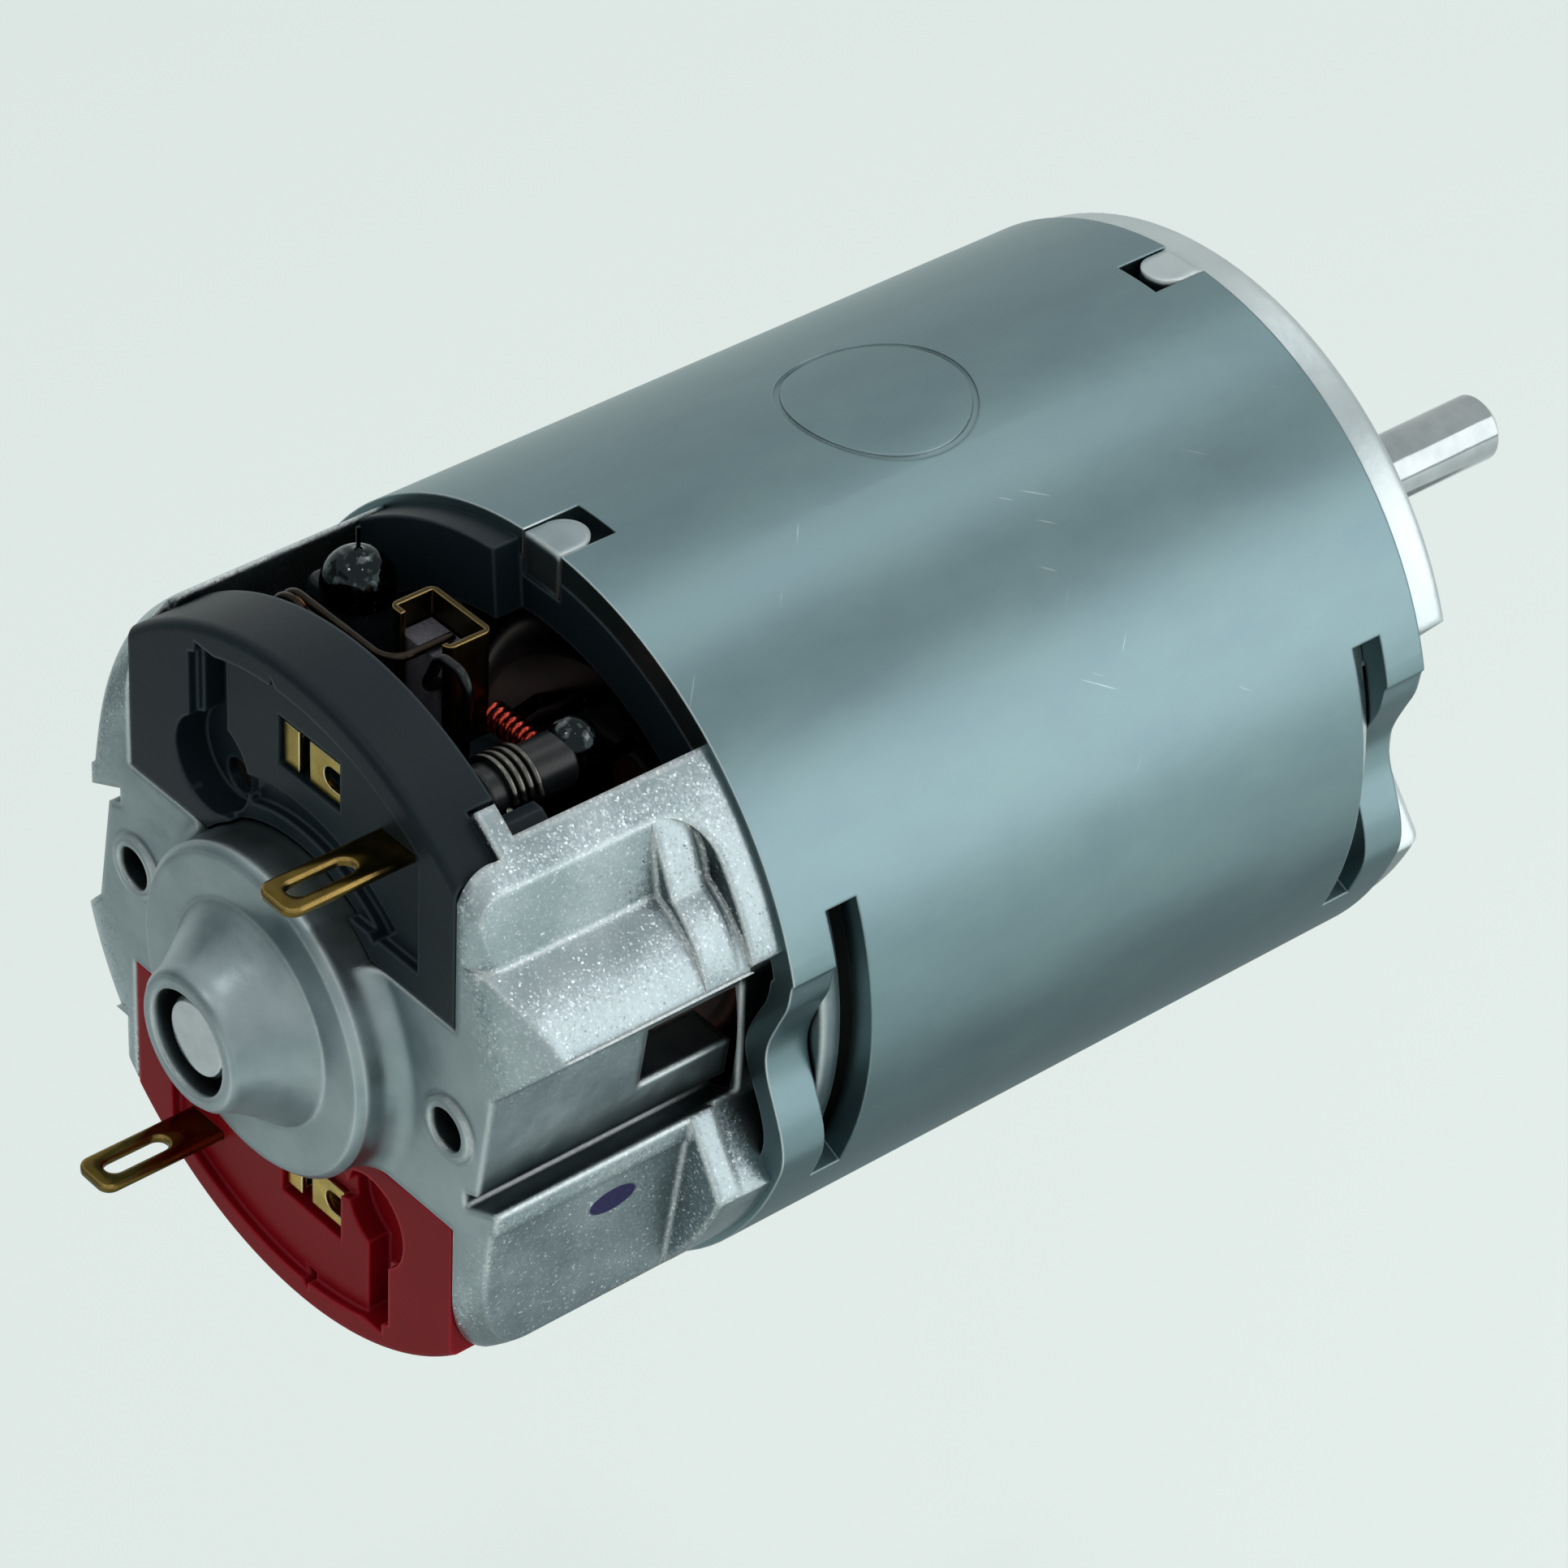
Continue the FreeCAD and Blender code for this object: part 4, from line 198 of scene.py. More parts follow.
def galvanised_steel():
    material, tree, shader, place = new_finish("galvanised_steel", Metallic=1.0)
    sides = add(tree, "SeparateXYZ", {0: place})
    turn = add(tree, "Math", {0: sides.outputs["X"], 1: sides.outputs["Z"]}, operation="ARCTAN2")
    around = add(tree, "Math", {0: turn, 1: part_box("motor_can")[1].z}, operation="MULTIPLY")
    sheet = add(tree, "CombineXYZ", {"X": around, "Y": sides.outputs["Y"]})
    long_sheet = add(tree, "Mapping", {"Vector": sheet, "Scale": (1, 0.5, 1)})
    clouds = add(tree, "TexNoise", {"Vector": long_sheet, "Scale": per_metre(CLOUD), "Detail": 6.0,
                                    "Roughness": 0.6})
    patches = add(tree, "MapRange", {0: clouds, 1: 0.34, 2: 0.66})
    base = add(tree, "Mix", {0: patches, 6: colour("#73898f"), 7: colour("#7a9195")}, data_type="RGBA")
    spots = add(tree, "TexNoise", {"Vector": sheet, "Scale": per_metre(HANDLED), "Detail": 1.0})
    handled = add(tree, "MapRange", {0: spots, 1: 0.54, 2: 0.66, 4: 0.6})
    for angle in SCRATCH_ANGLES:
        slanted = add(tree, "Mapping", {"Vector": sheet, "Rotation": (0, 0, math.radians(angle))})
        drawn_out = add(tree, "Mapping", {"Vector": slanted, "Scale": SCRATCH_SHAPE})
        marks = add(tree, "TexNoise", {"Vector": drawn_out, "Scale": per_metre(SCRATCH), "Detail": 1.0})
        sharp = add(tree, "MapRange", {0: marks, 1: 0.76, 2: 0.82})
        scratch = add(tree, "Math", {0: sharp, 1: handled}, operation="MULTIPLY")
        base = add(tree, "Mix", {0: scratch, 6: base.outputs[2], 7: colour("#c5d2d6")},
                   data_type="RGBA")
    rolled, edge = worn_edges(tree, 0.18)
    can_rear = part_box("motor_can")[0].y
    near_rim = add(tree, "MapRange", {0: sides.outputs["Y"], 1: can_rear + RIM_FROM * MM,
                                      2: can_rear + RIM_TO * MM, 3: 0.9, 4: 0.12})
    # Painted highlight and wear: the edges near the rear rim are painted paler.
    rim_wear_and_painted_highlight = add(tree, "Math", {0: edge, 1: near_rim}, operation="MULTIPLY")
    base = add(tree, "Mix", {0: rim_wear_and_painted_highlight, 6: base.outputs[2], 7: colour("#dde7e9")}, data_type="RGBA")
    tree.links.new(base.outputs[2], shader.inputs["Base Color"])
    dull = add(tree, "MapRange", {0: clouds, 1: 0.3, 2: 0.7, 3: 0.33, 4: 0.37})
    tree.links.new(dull.outputs[0], shader.inputs["Roughness"])
    grain = add(tree, "TexNoise", {"Vector": place, "Scale": per_metre(1.2), "Detail": 3.0})
    bump = add(tree, "Bump", {"Height": grain, "Distance": 0.006 * MM, "Normal": rolled})
    tree.links.new(bump.outputs[0], shader.inputs["Normal"])
    return material


wear_finish(galvanised_steel(), "motor_can")
print("can finished")

# %% [markdown]
# Both end shields are die-cast zinc alloy. The die gives smooth satin faces on the machined
# rear boss and inside the hollows. The outer faces behind the can are blasted: most of their
# tiny facets lie almost flat, and a few lean far enough to flash. How far a point lies from the
# shaft, and how far back, tells the two apart. Along the edges the flashing facets crowd
# together, and painted glints and a painted highlight, a nearly white colour on those facets and
# edges, draw a grainy bright line. The deep corners get painted shade, a darker colour. A pencil
# left one small blue dot on the lower right block.

# %% Cast zinc
BLAST_FROM = 15.5                   # mm from the shaft's line, where the blasted surface starts
BLAST_FULL = 17.5
FACET = 0.11                        # mm across one facet, coarser than a real one so that it shows
FACE_RARITY, EDGE_RARITY = 9.0, 2.5     # how rare a flashing facet is, on a face and on an edge
CALM_LEAN, FLASH_LEAN = 0.12, 0.7   # how far a facet leans, at rest and where it flashes
WAVE = 2.2                          # mm between the soft waves of the cast skin
# The dark colour that this reach paints into corners is painted shade.
SHADE_REACH = 5.0                    # mm, the reach of the shade that keeps a dark film in a corner
DOT_PLACE = (16.4, -53.9, -6.6)     # mm
DOT_HALF = (1.7, 1.5, 0.8)


def blasted_faces(tree, place, sparkle):
    """A mask that is 1 where a casting is blasted: far from the shaft and behind the can."""
    sides = add(tree, "SeparateXYZ", {0: place})
    across = add(tree, "CombineXYZ", {"X": sides.outputs["X"], "Z": sides.outputs["Z"]})
    reach = add(tree, "VectorMath", {0: across}, operation="LENGTH").outputs["Value"]
    outer = add(tree, "MapRange", {0: reach, 1: BLAST_FROM * MM, 2: BLAST_FULL * MM, 4: sparkle})
    can_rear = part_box("motor_can")[0].y
    behind = add(tree, "MapRange", {0: sides.outputs["Y"], 1: can_rear, 2: can_rear - 0.5 * MM})
    return add(tree, "Math", {0: outer, 1: behind}, operation="MULTIPLY")


def pencil_dot(tree, place):
    """A mask that is 1 inside the dot."""
    centre = add(tree, "VectorMath", {0: place, 1: tuple(side * MM for side in DOT_PLACE)},
                 operation="SUBTRACT")
    scaled = add(tree, "VectorMath", {0: centre, 1: tuple(side * MM for side in DOT_HALF)},
                 operation="DIVIDE")
    from_dot = add(tree, "VectorMath", {0: scaled}, operation="LENGTH").outputs["Value"]
    return add(tree, "MapRange", {0: from_dot, 1: 1.05, 2: 0.95})


def cast_zinc(name, sparkle, low, high):
    material, tree, shader, place = new_finish(name, Metallic=1.0)
    blasted = blasted_faces(tree, place, sparkle)
    facets = add(tree, "TexVoronoi", {"Vector": place, "Scale": per_metre(FACET)})
    luck = add(tree, "SeparateColor", {0: facets.outputs["Color"]}).outputs[0]
    rolled, edge = worn_edges(tree, 0.6)
    rarity = add(tree, "MapRange", {0: edge, 3: FACE_RARITY, 4: EDGE_RARITY})
    flash = add(tree, "Math", {0: luck, 1: rarity}, operation="POWER")
    grainy_edge = add(tree, "Math", {0: edge, 1: 0.4}, operation="MULTIPLY")
    rough_spots = add(tree, "Math", {0: blasted, 1: grainy_edge}, operation="MAXIMUM")
    flash = add(tree, "Math", {0: flash, 1: rough_spots}, operation="MULTIPLY")
    lean = add(tree, "VectorMath", {0: facets.outputs["Color"], 1: (0.5, 0.5, 0.5)},
               operation="SUBTRACT")
    amount = add(tree, "MapRange", {0: flash, 3: CALM_LEAN, 4: FLASH_LEAN})
    lively = add(tree, "Math", {0: amount, 1: rough_spots}, operation="MULTIPLY")
    tilt = add(tree, "VectorMath", {0: lean, "Scale": lively}, operation="SCALE")
    leaning = add(tree, "VectorMath", {0: rolled, 1: tilt}, operation="ADD")
    facing = add(tree, "VectorMath", {0: leaning}, operation="NORMALIZE")
    waves = add(tree, "TexNoise", {"Vector": place, "Scale": per_metre(WAVE), "Detail": 4.0})
    bump = add(tree, "Bump", {"Height": waves, "Distance": 0.05 * MM, "Normal": facing})
    tree.links.new(bump.outputs[0], shader.inputs["Normal"])
    clouds = add(tree, "TexNoise", {"Vector": place, "Scale": per_metre(3.5), "Detail": 5.0})
    patches = add(tree, "MapRange", {0: clouds, 1: 0.35, 2: 0.65})
    base = add(tree, "Mix", {0: patches, 6: colour(low), 7: colour(high)}, data_type="RGBA")
    machined = add(tree, "MapRange", {0: blasted, 3: 0.1 * sparkle, 4: 0.0})
    base = add(tree, "Mix", {0: machined, 6: base.outputs[2], 7: colour("#5c686c")}, data_type="RGBA")
    # Painted shade: corners and hollows are painted darker, towards #5a6568, where ambient occlusion
    # finds little open space.
    occlusion = add(tree, "AmbientOcclusion", {"Distance": SHADE_REACH * MM}, samples=6).outputs["AO"]
    unshaded = add(tree, "MapRange", {0: occlusion, 1: 0.2, 2: 0.9})
    base = add(tree, "Mix", {0: unshaded, 6: colour("#5a6568"), 7: base.outputs[2]}, data_type="RGBA")
    # Painted highlight: the sharpest edges are painted nearly white.
    crest = add(tree, "Math", {0: edge, 1: 3.0}, operation="POWER")
    painted_edge_highlight = add(tree, "Math", {0: crest, 1: 0.6}, operation="MULTIPLY")
    base = add(tree, "Mix", {0: painted_edge_highlight, 6: base.outputs[2], 7: colour("#e6ecec")}, data_type="RGBA")
    # Painted glints: flashing facets are painted nearly white, more strongly along the edges.
    bright = add(tree, "MapRange", {0: edge, 3: 0.35, 4: 0.8})
    glint = add(tree, "Math", {0: flash, 1: bright}, operation="MULTIPLY")
    base = add(tree, "Mix", {0: glint, 6: base.outputs[2], 7: colour("#eef2f2")}, data_type="RGBA")
    ink = pencil_dot(tree, place)
    base = add(tree, "Mix", {0: ink, 6: base.outputs[2], 7: colour("#3d3a6a")}, data_type="RGBA")
    tree.links.new(base.outputs[2], shader.inputs["Base Color"])
    dull = add(tree, "MapRange", {0: clouds, 1: 0.3, 2: 0.7, 3: 0.31, 4: 0.4})
    polished = add(tree, "Mix", {0: flash, 2: dull, 3: 0.3})
    tree.links.new(polished.outputs[0], shader.inputs["Roughness"])
    return material


wear_finish(cast_zinc("blasted_zinc", 1.0, "#94a2a6", "#adb9bd"), "rear_end_shield")
wear_finish(cast_zinc("smooth_zinc", 0.0, "#bec8ca", "#ccd5d6"), "front_end_shield")
print("castings finished")

# %% [markdown]
# The brush holders are injection-moulded nylon, one black and one red for the polarity. A
# spark-eroded mould leaves a fine satin grain, and the rounded edges carry a painted highlight,
# a paler colour along them. The red one lets some light in, which makes its grooves glow deeper red.

# %% Moulded plastics
SPARK_GRAIN = 0.25                  # mm across the grain that the spark-eroded mould leaves


def moulded_nylon(name, low, high, edge_wear_and_highlight, **sockets):
    material, tree, shader, place = new_finish(name, IOR=1.53, **sockets)
    clouds = add(tree, "TexNoise", {"Vector": place, "Scale": per_metre(5.0), "Detail": 4.0})
    base = add(tree, "Mix", {0: clouds, 6: colour(low), 7: colour(high)}, data_type="RGBA")
    rolled, edge = worn_edges(tree, 0.3)
    # Painted highlight: the rounded edges are painted paler.
    painted_edge_highlight = add(tree, "Math", {0: edge, 1: 0.5}, operation="MULTIPLY")
    base = add(tree, "Mix", {0: painted_edge_highlight, 6: base.outputs[2], 7: colour(edge_wear_and_highlight)}, data_type="RGBA")
    tree.links.new(base.outputs[2], shader.inputs["Base Color"])
    grain = add(tree, "TexNoise", {"Vector": place, "Scale": per_metre(SPARK_GRAIN), "Detail": 2.0})
    bump = add(tree, "Bump", {"Height": grain, "Distance": 0.006 * MM, "Normal": rolled})
    tree.links.new(bump.outputs[0], shader.inputs["Normal"])
    return material


black_nylon = moulded_nylon("black_nylon", "#0f191e", "#152026", "#46535b",
                            Roughness=0.42, Specular_IOR_Level=0.17)
red_nylon = moulded_nylon("red_nylon", "#6e050d", "#7e0816", "#b83444",
                          Roughness=0.4, Specular_IOR_Level=0.08,
                          Subsurface_Weight=0.3, Subsurface_Scale=2 * MM)
wear_finish(black_nylon, "upper_brush_holder", *both("insulating_arc"))
wear_finish(red_nylon, "lower_brush_holder")
print("mouldings finished")

# %% [markdown]
# Terminals, contact clips and brush sleeves are stamped from brass strip, and the springs,
# bushes, wires and bars are metal too. One function makes the family: a colour that varies in
# small clouds, drawing lines along the motor, and edges painted a brighter tone, partly as wear
# and partly as a painted highlight. Each row gives the darker and the lighter tone, the tone of
# the edges and the roughness, and where it differs from the rest, the size of the clouds and the
# width of an edge.

# %% Metals
DRAWN_LINE = 0.12                   # mm between the drawing lines
DRAWN_SHAPE = (1, 0.08, 1)          # how far they are drawn out


def plain_metal(name, low, high, edge_wear_and_highlight, roughness, cloud_mm=1.5, edge_mm=0.12):
    material, tree, shader, place = new_finish(name, Metallic=1.0, Roughness=roughness)
    clouds = add(tree, "TexNoise", {"Vector": place, "Scale": per_metre(cloud_mm), "Detail": 3.0})
    patches = add(tree, "MapRange", {0: clouds, 1: 0.32, 2: 0.68})
    base = add(tree, "Mix", {0: patches, 6: colour(low), 7: colour(high)}, data_type="RGBA")
    rolled, edge = worn_edges(tree, edge_mm)
    # The edges are painted brighter: partly wear, partly a painted highlight.
    base = add(tree, "Mix", {0: edge, 6: base.outputs[2], 7: colour(edge_wear_and_highlight)}, data_type="RGBA")
    tree.links.new(base.outputs[2], shader.inputs["Base Color"])
    along = add(tree, "Mapping", {"Vector": place, "Scale": DRAWN_SHAPE})
    lines = add(tree, "TexNoise", {"Vector": along, "Scale": per_metre(DRAWN_LINE), "Detail": 1.0})
    bump = add(tree, "Bump", {"Height": lines, "Distance": 0.002 * MM, "Normal": rolled})
    tree.links.new(bump.outputs[0], shader.inputs["Normal"])
    return material


METALS = {
    "terminal_brass": (("#54451c", "#6d5b28", "#ffd68a", 0.18, 1.2, 0.26), both("terminal")),
    "contact_brass": (("#a98f45", "#c9ad5e", "#fff0c0", 0.26), both("contact_clip")),
    "sleeve_brass": (("#332b19", "#4b4026", "#b0935c", 0.32), both("brush_sleeve")),
    "spring_steel": (("#6b6a67", "#83817c", "#c9c5bb", 0.22),
                     both("magnet_spring") + ("front_bush_clip", "rear_bush_clip")),
    "brush_spring_wire": (("#26221e", "#37312a", "#c98f55", 0.28), both("brush_spring")),
    "ground_steel": (("#a4abad", "#b4babc", "#dfe5e6", 0.08), ("motor_shaft",)),
    "sintered_bronze": (("#5e4a2e", "#735c3a", "#a08458", 0.45), ("front_bush", "rear_bush")),
    "turned_copper": (("#7c4429", "#9a5c3a", "#d99870", 0.28), ("commutator_segments",)),
    "tinned_wire": (("#5b5a56", "#75736d", "#c8c4b8", 0.22), both("choke_winding")),
    "pigtail_braid": (("#2f3132", "#434545", "#8a8a84", 0.3), both("pigtail")),
    "red_enamelled_wire": (("#a02a22", "#c84838", "#ffb8a8", 0.16), both("cross_coil")),
    # Painted shade: the armature windings are painted nearly black, for the shade inside the can.
    "enamelled_copper": (("#210a06", "#34120b", "#5a2416", 0.3), ("armature_windings",)),
    "core_sheet_steel": (("#1c1e20", "#282b2d", "#44484a", 0.4), ("armature_core",)),
}
for name, (look, nodes) in METALS.items():
    wear_finish(plain_metal(name, *look), *nodes)
print(len(METALS), "metals finished")

# %% [markdown]
# What is left are plain solids: ferrite, felt, carbon, resin, fibre and white nylon. Each has
# its own grain, and the bump of that grain shows how it was made: pressed, felted or dipped.
# Each row gives both tones, the roughness, and the width and depth of the grain in millimetres.

# %% Other solids
def plain_solid(name, low, high, roughness, grain_mm, depth_mm):
    material, tree, shader, place = new_finish(name, Roughness=roughness, IOR=1.5,
                                               Specular_IOR_Level=0.4)
    grain = add(tree, "TexNoise", {"Vector": place, "Scale": per_metre(grain_mm), "Detail": 4.0})
    patches = add(tree, "MapRange", {0: grain, 1: 0.3, 2: 0.7})
    base = add(tree, "Mix", {0: patches, 6: colour(low), 7: colour(high)}, data_type="RGBA")
    tree.links.new(base.outputs[2], shader.inputs["Base Color"])
    rolled = worn_edges(tree, 0.1)[0]
    bump = add(tree, "Bump", {"Height": grain, "Distance": depth_mm * MM, "Normal": rolled})
    tree.links.new(bump.outputs[0], shader.inputs["Normal"])
    return material


SOLIDS = {
    "magnet_ferrite": (("#1b1d20", "#26292c", 0.5, 0.3, 0.01), ("left_magnet", "right_magnet")),
    "oiled_felt": (("#4a3e2a", "#5f5138", 0.9, 0.3, 0.1), ("front_oil_felt", "rear_oil_felt")),
    "brush_carbon": (("#4e4c52", "#66636b", 0.55, 0.2, 0.01), both("brush")),
    "choke_ferrite": (("#0c0f11", "#15191b", 0.34, 0.5, 0.004), both("choke_core")),
    "capacitor_resin": (("#0f1316", "#1a2024", 0.15, 1.0, 0.008), both("capacitor")),
    "moulded_phenolic": (("#1e140e", "#2a1d14", 0.4, 0.6, 0.005), ("commutator_hub",)),
    "vulcanised_fibre": (("#5c2c1e", "#703a28", 0.6, 0.4, 0.01),
                         ("front_end_insulator", "rear_end_insulator")),
    "white_nylon": (("#b9b7ac", "#cbc9bf", 0.4, 0.5, 0.005),
                    ("front_spacer", "rear_spacer", "front_thrust_washer", "rear_thrust_washer")),
}
for name, (look, nodes) in SOLIDS.items():
    wear_finish(plain_solid(name, *look), *nodes)
print(len(SOLIDS), "other solids finished")

# %% [markdown]
# The choke and the capacitor are joined by solder. Molten solder pulls itself into a ball and
# freezes with a skin as bright as glass, and the lead that it holds stands out of the top. Each
# bead starts as a sphere that is cut off where it meets its part, and the cut is pushed into
# the part and widened, as the solder wets it. Where there is a lead, the faces round the pole
# are drawn out in two steps: a short one that narrows to the wire, and the wire itself. The
# lower brush gear is the upper one after half a turn round the shaft, so each piece is modelled
# once, above, and copied below.

# %% Solder finish
def solder_skin():
    material, tree, shader, place = new_finish("solder_skin", Metallic=1.0)
    clouds = add(tree, "TexNoise", {"Vector": place, "Scale": per_metre(0.7), "Detail": 4.0})
    frost = add(tree, "MapRange", {0: clouds, 1: 0.54, 2: 0.7})
    # Painted reflection: the skin is painted nearly black with grey clouds, for the dark surroundings
    # that the glassy bead reflects.
    base = add(tree, "Mix", {0: frost, 6: colour("#262c2d"), 7: colour("#707879")}, data_type="RGBA")
    tree.links.new(base.outputs[2], shader.inputs["Base Color"])
    dull = add(tree, "MapRange", {0: clouds, 1: 0.54, 2: 0.7, 3: 0.04, 4: 0.25})
    tree.links.new(dull.outputs[0], shader.inputs["Roughness"])
    bump = add(tree, "Bump", {"Height": clouds, "Distance": 0.02 * MM})
    tree.links.new(bump.outputs[0], shader.inputs["Normal"])
    return material


SOLDER_SKIN = solder_skin()
print("solder finished")

# %% Selecting faces by their place
def select_faces(piece, wanted):
    """Selects the faces of a piece in edit mode whose centre passes a test."""
    bpy.ops.mesh.select_all(action="DESELECT")
    bpy.ops.object.mode_set(mode="OBJECT")
    for face in piece.data.polygons:
        face.select = wanted(face.center)
    bpy.ops.object.mode_set(mode="EDIT")


# %% The lower copy of a piece
def lower_copy(upper):
    """The same piece below: a copy with a mesh of its own, half a turn round the shaft."""
    lower = upper.copy()
    lower.data = upper.data.copy()
    lower.name = upper.name.replace("upper", "lower")
    lower.data.transform(Matrix.Rotation(math.pi, 4, "Y"))
    bpy.context.scene.collection.objects.link(lower)
    return lower


# %% Solder beads
BEAD_SINK = 0.25                    # mm that a bead's foot reaches into its part
POLE = 0.99                         # share of the radius from which faces are round the pole
LEAD_FOOT = 0.2                     # mm over which the solder climbs the lead
FOOT_TAPER = 0.45                   # how much it narrows there
LEAD_LENGTH = 1.2                   # mm


def solder_bead(name, centre, radius, cut, wetting, lead):
    """A bead round a point, cut off at a height, with a widened foot and perhaps a lead."""
    bpy.ops.object.select_all(action="DESELECT")
    bpy.ops.mesh.primitive_uv_sphere_add(segments=32, ring_count=24, radius=radius * MM)
    bead = bpy.context.object
    bead.name = name
    bpy.ops.object.mode_set(mode="EDIT")
    bpy.ops.mesh.bisect(plane_co=(0, 0, cut * MM), plane_no=(0, 0, 1), clear_inner=True, use_fill=True)
    select_faces(bead, lambda place: place.z < (cut + 0.001) * MM)
    bpy.ops.mesh.extrude_region_move(TRANSFORM_OT_translate={"value": (0, 0, -BEAD_SINK * MM)})
    bpy.ops.transform.resize(value=(wetting, wetting, 1))
    if lead:
        select_faces(bead, lambda place: place.z > radius * POLE * MM)
        for rise, narrowing in ((LEAD_FOOT, FOOT_TAPER), (LEAD_LENGTH, 1.0)):
            bpy.ops.mesh.extrude_region_move(TRANSFORM_OT_translate={"value": (0, 0, rise * MM)})
            bpy.ops.transform.resize(value=(narrowing, narrowing, 1))
    bpy.ops.object.mode_set(mode="OBJECT")
    bpy.ops.object.shade_smooth_by_angle(angle=math.radians(50))
    bead.data.transform(Matrix.Translation(Vector(centre) * MM))
    bead.data.materials.append(SOLDER_SKIN)
    return bead


CAPACITOR_BEAD = (-8.1, -51.3, 16.2)    # mm, the middle of the sphere
CHOKE_BEAD = (8.5, -50.9, 15.9)
beads = [solder_bead("upper_capacitor_bead", CAPACITOR_BEAD, 2.0, -0.4, 1.02, True),
         solder_bead("upper_choke_bead", CHOKE_BEAD, 1.4, -1.0, 1.1, False)]
beads += [lower_copy(bead) for bead in beads]
for bead in beads:
    side = bead.name.split("_")[0]
    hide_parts(side + "_solder_joints")
    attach(bead, "stator")
print(len(beads), "solder beads modelled")

# %% [markdown]
# Each terminal is a blade stamped from brass strip, with a long eye for a soldered lead. The
# press leaves the edges and the tip's corners round, and that roundness carries the bright line
# along the blade. The blade starts as a cube at the strip's size, its tip corners are bevelled
# round, a cutter made the same way opens the eye, and a bevel rounds every edge.

# %% Terminals
STRIP = (2.8, 11.2, 0.5)            # mm: width, length and thickness of a blade
STRIP_CENTRE = (8.0, -63.1, 14.1)
EYE = (1.2, 3.9, 2.0)
EYE_FROM_TIP = 2.9                  # mm from the tip to the middle of the eye
TIP_ROUND = 0.75                    # mm, the roundness of the tip's corners
PRESSED_ROUND = 0.12                # mm, the roundness that the press leaves on every edge


def stamped_block(name, centre, size, corner, wanted):
    """A block whose upright edges are rounded where their place passes a test."""
    bpy.ops.object.select_all(action="DESELECT")
    bpy.ops.mesh.primitive_cube_add(size=1, location=[side * MM for side in centre])
    block = bpy.context.object
    block.name = name
    block.scale = [side * MM for side in size]
    bpy.ops.object.transform_apply(location=True, rotation=True, scale=True)
    bpy.ops.object.mode_set(mode="EDIT")
    bpy.ops.mesh.select_mode(type="EDGE")
    bpy.ops.mesh.select_all(action="DESELECT")
    bpy.ops.object.mode_set(mode="OBJECT")
    points = block.data.vertices
    for edge in block.data.edges:
        start, end = (points[index].co for index in edge.vertices)
        edge.select = abs(start.z - end.z) > 0.1 * MM and wanted(start)
    bpy.ops.object.mode_set(mode="EDIT")
    bpy.ops.mesh.bevel(offset=corner * MM, segments=8)
    bpy.ops.mesh.select_mode(type="FACE")
    bpy.ops.object.mode_set(mode="OBJECT")
    return block


terminal_brass = NODES["upper_terminal"].data.materials[0]
tip = STRIP_CENTRE[1] - STRIP[1] / 2
upper_blade = stamped_block("upper_terminal_blade", STRIP_CENTRE, STRIP, TIP_ROUND,
                            lambda corner: corner.y < (tip + 0.01) * MM)
cutter = stamped_block("eye_cutter", (STRIP_CENTRE[0], tip + EYE_FROM_TIP, STRIP_CENTRE[2]), EYE,
                       EYE[0] / 2 - 0.01, lambda corner: True)
opening = upper_blade.modifiers.new("eye", "BOOLEAN")
opening.object = cutter
rounding = upper_blade.modifiers.new("pressed edges", "BEVEL")
rounding.width = PRESSED_ROUND * MM
rounding.segments = 3
bpy.context.view_layer.objects.active = upper_blade
for modifier in (opening, rounding):
    bpy.ops.object.modifier_apply(modifier=modifier.name)
bpy.data.objects.remove(cutter)
bpy.ops.object.select_all(action="DESELECT")
upper_blade.select_set(True)
bpy.ops.object.shade_smooth_by_angle(angle=math.radians(35))
upper_blade.data.materials.clear()
upper_blade.data.materials.append(terminal_brass)
for blade in (upper_blade, lower_copy(upper_blade)):
    side = blade.name.split("_")[0]
    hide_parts(side + "_terminal")
    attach(blade, "stator")
print("terminals modelled")

# %% [markdown]
# A plain pale floor lies well below the motor, and the world is the same pale colour, so the
# motor stands free as in a catalogue picture. Broad lamps of little more than that brightness
# draw the soft bands on the can. Each lamp is given by how bright its face looks, where 1 is
# white, because that is what a metal shows of it. Two bare bulbs, too small to light much, put
# a white point on each round and shiny thing. A photographer sets grey cards under, beside and
# behind shiny metal, so that its darker sides stand off from the pale floor and each form gets
# a light and a dark side: only reflections see the three cards here.

# %% Floor
FLOOR_DROP = 0.12                   # metres from the lowest point of the motor
FLOOR_SIZE = 6.0
bpy.ops.object.select_all(action="DESELECT")
bpy.ops.mesh.primitive_plane_add(size=FLOOR_SIZE, location=(0, 0, cad_box[0].z - FLOOR_DROP))
floor = bpy.context.object
floor.name = "floor"
floor.data.materials.append(new_finish("pale_floor", Base_Color=colour("#f8fefb"), Roughness=0.9,
                                       Specular_IOR_Level=0.0)[0])
print("floor laid at", round(floor.location.z, 3), "m")


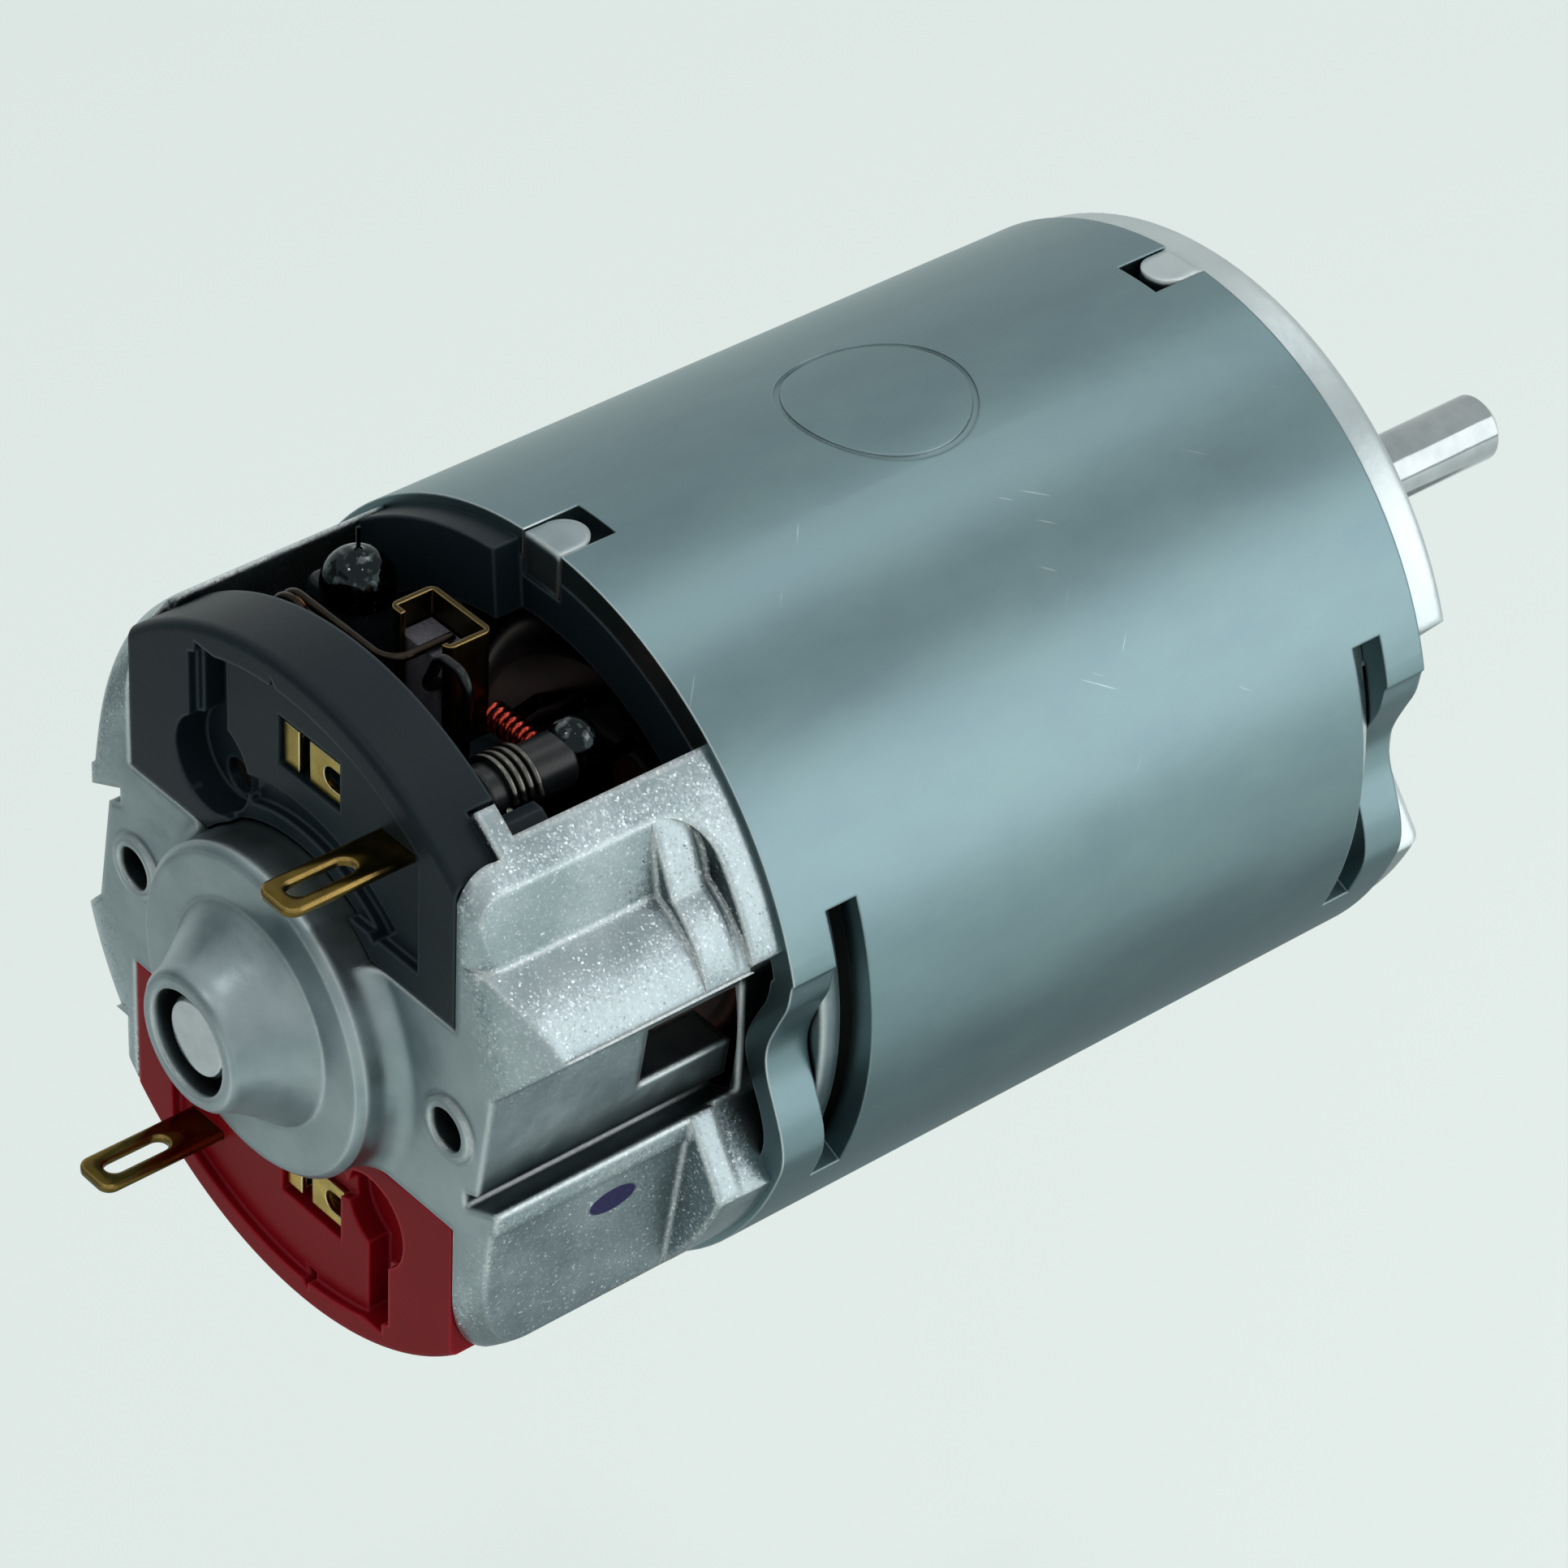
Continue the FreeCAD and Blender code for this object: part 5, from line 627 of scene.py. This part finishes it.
# %% Grey cards
def grey_card(name, place, facing, size, tone):
    """A square card that only reflections see."""
    bpy.ops.object.select_all(action="DESELECT")
    bpy.ops.mesh.primitive_plane_add(size=size, location=place,
                                     rotation=facing.to_track_quat("Z", "Y").to_euler())
    card = bpy.context.object
    card.name = name
    card.visible_camera = card.visible_diffuse = False
    card.visible_shadow = card.visible_transmission = False
    card.data.materials.append(new_finish(name, Base_Color=colour(tone), Roughness=0.9,
                                          Specular_IOR_Level=0.0)[0])


CARD = 0.24                         # metres along a side of a card
WIDE_CARD = 0.26
rear_end = Vector((0, cad_box[0].y, 0))
beside = Vector((-0.766, -0.643, 0))
behind = Vector((-0.157, -0.893, 0.423))
above_floor = Vector((-0.01, 0, floor.location.z + 0.005))
grey_card("card_below", above_floor, Vector((0, 0, 1)), WIDE_CARD, "#a0a8a9")
grey_card("card_beside", rear_end + beside * 0.17, -beside, CARD, "#8a9294")
grey_card("card_behind", rear_end + behind * 0.3, -behind, CARD, "#8a9294")
print("three cards set")

# %% World and lamps
LAMP_DISTANCE = 0.6                 # metres from the middle of the motor
WORLD_LIGHT = 0.79                  # strength, where 1 is white
BULB = (0.03, 0.03)                 # metres
world = bpy.data.worlds.new("studio")
bpy.context.scene.world = world
world.use_nodes = True
world.node_tree.nodes["Background"].inputs["Color"].default_value = colour("#eef3f2")
world.node_tree.nodes["Background"].inputs["Strength"].default_value = WORLD_LIGHT


def soft_lamp(name, azimuth, elevation, size, glow):
    """A soft lamp that looks at the middle of the motor, with a face of that brightness."""
    turn = math.radians(azimuth)
    lift = math.radians(elevation)
    way = Vector((math.sin(turn) * math.cos(lift), -math.cos(turn) * math.cos(lift), math.sin(lift)))
    lamp_data = bpy.data.lights.new(name, "AREA")
    lamp_data.shape = "RECTANGLE"
    lamp_data.size, lamp_data.size_y = size
    lamp_data.energy = glow * math.pi * size[0] * size[1]
    lamp = bpy.data.objects.new(name, lamp_data)
    bpy.context.scene.collection.objects.link(lamp)
    middle = (cad_box[0] + cad_box[1]) / 2
    lamp.location = middle + way * LAMP_DISTANCE
    lamp.rotation_euler = way.to_track_quat("Z", "Y").to_euler()


soft_lamp("key", 125, 16, (0.45, 0.5), 1.4)
soft_lamp("top", 186, 60, (0.2, 0.14), 1.8)
for name, azimuth, elevation in (("right_glint", 75, 70), ("left_glint", -10, 60)):
    soft_lamp(name, azimuth, elevation, BULB, 40.0)
bpy.context.scene.view_settings.view_transform = "Standard"
print("stage set")
